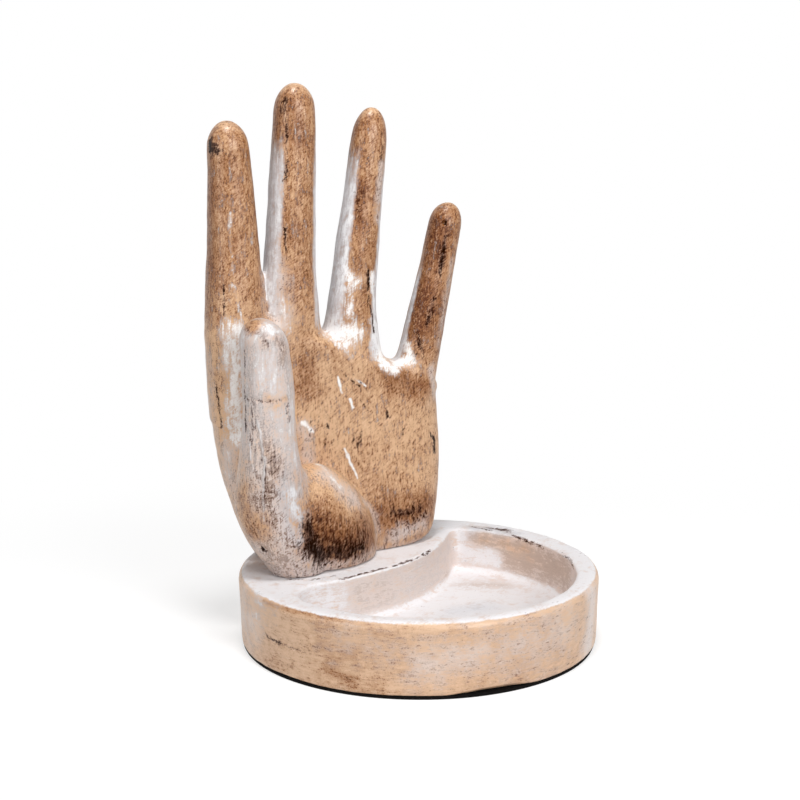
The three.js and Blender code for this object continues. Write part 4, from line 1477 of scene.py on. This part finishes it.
@dataclass
class WoodScrews:
    """The two screws that hold the hand on the tray, with real threads.

    Attributes:
        nodes: CAD nodes of the screws.
        shank: Radius of the CAD shank.
        core: Radius of the shank between the thread's turns.
        thread: Outer radius of the thread.
        depth: Height of the thread's ridge.
        pitch: Rise of one turn.
        turn_steps: Points on one turn.
        ridge_corners: Corners of the ridge's cross-section.
        neck: Length of head and plain shank below the thread.
        tip: Length of the plain tip.
        crease: Angle from which an edge stays sharp, in degrees.
        finish: Steel.
        slot: Its slot in the record; not used.
    """

    nodes: tuple[str, ...] = ("screw_thumb_side", "screw_little_finger_side")
    shank: float = 2.5
    core: float = 1.75
    thread: float = 2.42
    depth: float = 0.42
    pitch: float = 2.2
    turn_steps: int = 28
    ridge_corners: int = 4
    neck: float = 12.0
    tip: float = 6.5
    crease: float = 35.0
    finish: ScrewSteel = ScrewSteel()
    slot: str = "steel"

    def build(self) -> list[bpy.types.Object]:
        """Cuts both screws."""
        material = self.finish.material()
        return [self._screw(node, material) for node in self.nodes]

    def _screw(self, node: str, material: bpy.types.Material) -> bpy.types.Object:
        """Slims a screw's shank and winds the thread round it.

        Args:
            node: CAD node of the screw.
            material: Steel.

        Returns:
            The screw.
        """
        low, high = (np.array(corner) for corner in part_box(node))
        middle = (low + high) / 2
        start = Vector((middle[0], middle[1], low[2] + self.neck * MM))
        body = weld(node)
        for point in body.vertices:
            if point.co.z > start.z:
                point.co.xy = start.xy + (point.co.xy - start.xy) * (self.core / self.shank)
        height = high[2] - low[2] - (self.neck + self.tip) * MM
        jig = Jig("thread_" + node)
        radius = jig.size("Radius", (self.thread - self.depth) * MM)
        inputs = {
            "Resolution": self.turn_steps,
            "Rotations": jig.size("Turns", float(height / (self.pitch * MM))),
            "Start Radius": radius,
            "End Radius": radius,
            "Height": jig.size("Height", float(height)),
        }
        spiral = jig.node("GeometryNodeCurveSpiral", inputs).outputs[0]
        inputs = {"Resolution": self.ridge_corners, "Radius": jig.size("Thread depth", self.depth * MM)}
        ridge = jig.node("GeometryNodeCurvePrimitiveCircle", inputs).outputs[0]
        inputs = {"Curve": spiral, "Profile Curve": ridge, "Fill Caps": True}
        thread = jig.node("GeometryNodeCurveToMesh", inputs).outputs[0]
        raised = jig.node("GeometryNodeTransform", {"Geometry": thread, "Translation": start}).outputs[0]
        mesh = jig.make(raised, material, body)
        mesh.shade_smooth()
        mesh.set_sharp_from_angle(angle=math.radians(self.crease))
        return enlist(place("threaded_" + node, mesh), node)


def face(seat: bpy.types.Object, where: Point, aim: Vector) -> None:
    """Moves a lamp or a camera to its place and turns it towards a point.

    Args:
        seat: The lamp or camera.
        where: Its place.
        aim: Point that it faces, in metres.
    """
    seat.location = Vector(where) * MM
    seat.rotation_euler = (aim - seat.location).to_track_quat("-Z", "Y").to_euler()


@dataclass(frozen=True)
class Lamp:
    """One soft lamp.

    Attributes:
        name: Name of the lamp.
        where: Where it stands.
        size: Width of its soft box.
        power: Power in watts.
    """

    name: str
    where: Point
    size: float
    power: float

    def hang(self, aim: Vector) -> None:
        """Hangs the lamp so that it faces the stand.

        Args:
            aim: Point that it faces, in metres.
        """
        light = bpy.data.lights.new(self.name, "AREA")
        light.shape = "DISK"
        light.size = self.size * MM
        light.energy = self.power
        face(place(self.name, light), self.where, aim)


@dataclass
class Studio:
    """Pale floor, soft lamps, white surroundings and the camera.

    Attributes:
        view: Where the camera stands and what it faces, as in the photo.
        sight: How far the camera sees.
        reach: Radius of the floor.
        steps: Corners of the floor.
        fade: Distances between which the floor fades to plain white.
        pale: Grey of the floor as it lights the stand.
        shaded: Grey of the floor that takes the stand's shadow.
        glow: Strength of the floor's own light near the stand.
        sky: Strength of the fill from all round.
        lamps: The soft lamps.
    """

    view: View = VIEW
    sight: float = 20000.0
    reach: float = 3000.0
    steps: int = 64
    fade: tuple[float, float] = (110.0, 300.0)
    pale: float = 0.78
    shaded: float = 0.42
    glow: float = 0.66
    sky: float = 0.2
    lamps: tuple[Lamp, ...] = (
        Lamp("key_softbox", (180, -1000, 560), 520, 7.0),
        Lamp("top_softbox", (-80, -160, 1000), 200, 5.0),
        Lamp("left_fill", (-900, -420, 300), 700, 2.8),
    )

    def build(self) -> None:
        """Sets up the whole studio."""
        self._floor()
        self._surroundings()
        aim = Vector(self.view.aim) * MM
        for lamp in self.lamps:
            lamp.hang(aim)
        optics = bpy.data.cameras.new("camera")
        optics.lens = self.view.lens
        optics.sensor_width = self.view.sensor
        optics.clip_end = self.sight * MM
        camera = place("camera", optics)
        face(camera, self.view.eye, aim)
        bpy.context.scene.camera = camera
        bpy.context.scene.view_settings.view_transform = "Standard"

    def _floor(self) -> None:
        """Lays the floor, which fades to plain white away from the stand."""
        shell = bmesh.new()
        bmesh.ops.create_circle(shell, cap_ends=True, segments=self.steps, radius=self.reach * MM)
        mesh = bpy.data.meshes.new("floor")
        shell.to_mesh(mesh)
        shell.free()
        kit = Recipe("pale_floor")
        kit.tree.nodes.remove(kit.shader)
        away = kit.node("ShaderNodeVectorMath", {0: kit.place}, operation="LENGTH").outputs["Value"]
        plain, shade = (
            kit.node("ShaderNodeBsdfDiffuse", {"Color": (grey, grey, grey, 1)}).outputs[0]
            for grey in (self.pale, self.shaded)
        )
        base, white = (
            kit.node("ShaderNodeEmission", {"Strength": strength}).outputs[0]
            for strength in (self.glow, 1.0)
        )
        near = kit.node("ShaderNodeAddShader", {0: shade, 1: base}).outputs[0]
        fade = kit.ramp(away, *(distance * MM for distance in self.fade))
        shown = kit.node("ShaderNodeMixShader", {0: fade, 1: near, 2: white}).outputs[0]
        both = kit.node("ShaderNodeMixShader", {0: kit.seen(), 1: plain, 2: shown}).outputs[0]
        kit.feed(kit.tree.nodes["Material Output"].inputs["Surface"], both)
        mesh.materials.append(kit.material)
        place("floor", mesh)

    def _surroundings(self) -> None:
        """Makes the world white to the eye and a soft fill to the stand."""
        world = bpy.data.worlds.new("white_room")
        world.use_nodes = True
        bpy.context.scene.world = world
        kit = NodeKit(world.node_tree)
        fill = kit.tree.nodes["Background"]
        kit.feed(fill.inputs["Color"], (1, 1, 1, 1))
        kit.feed(fill.inputs["Strength"], self.sky)
        white = kit.node("ShaderNodeBackground", {"Color": (1, 1, 1, 1)})
        inputs = {0: kit.seen(), 1: fill.outputs[0], 2: white.outputs[0]}
        both = kit.node("ShaderNodeMixShader", inputs).outputs[0]
        kit.feed(kit.tree.nodes["World Output"].inputs["Surface"], both)


def main() -> None:
    """Builds the stand piece by piece, then the studio, and logs each piece's face count."""
    logging.basicConfig(level=logging.INFO, format="%(name)s: %(message)s")
    for part in (CarvedHand(), TurnedTray(), FeltPad(), WoodScrews()):
        for piece in part.build():
            LOG.info("%s: %d faces", piece.name, len(piece.data.polygons))
    Studio().build()


if __name__ == "__main__":
    main()
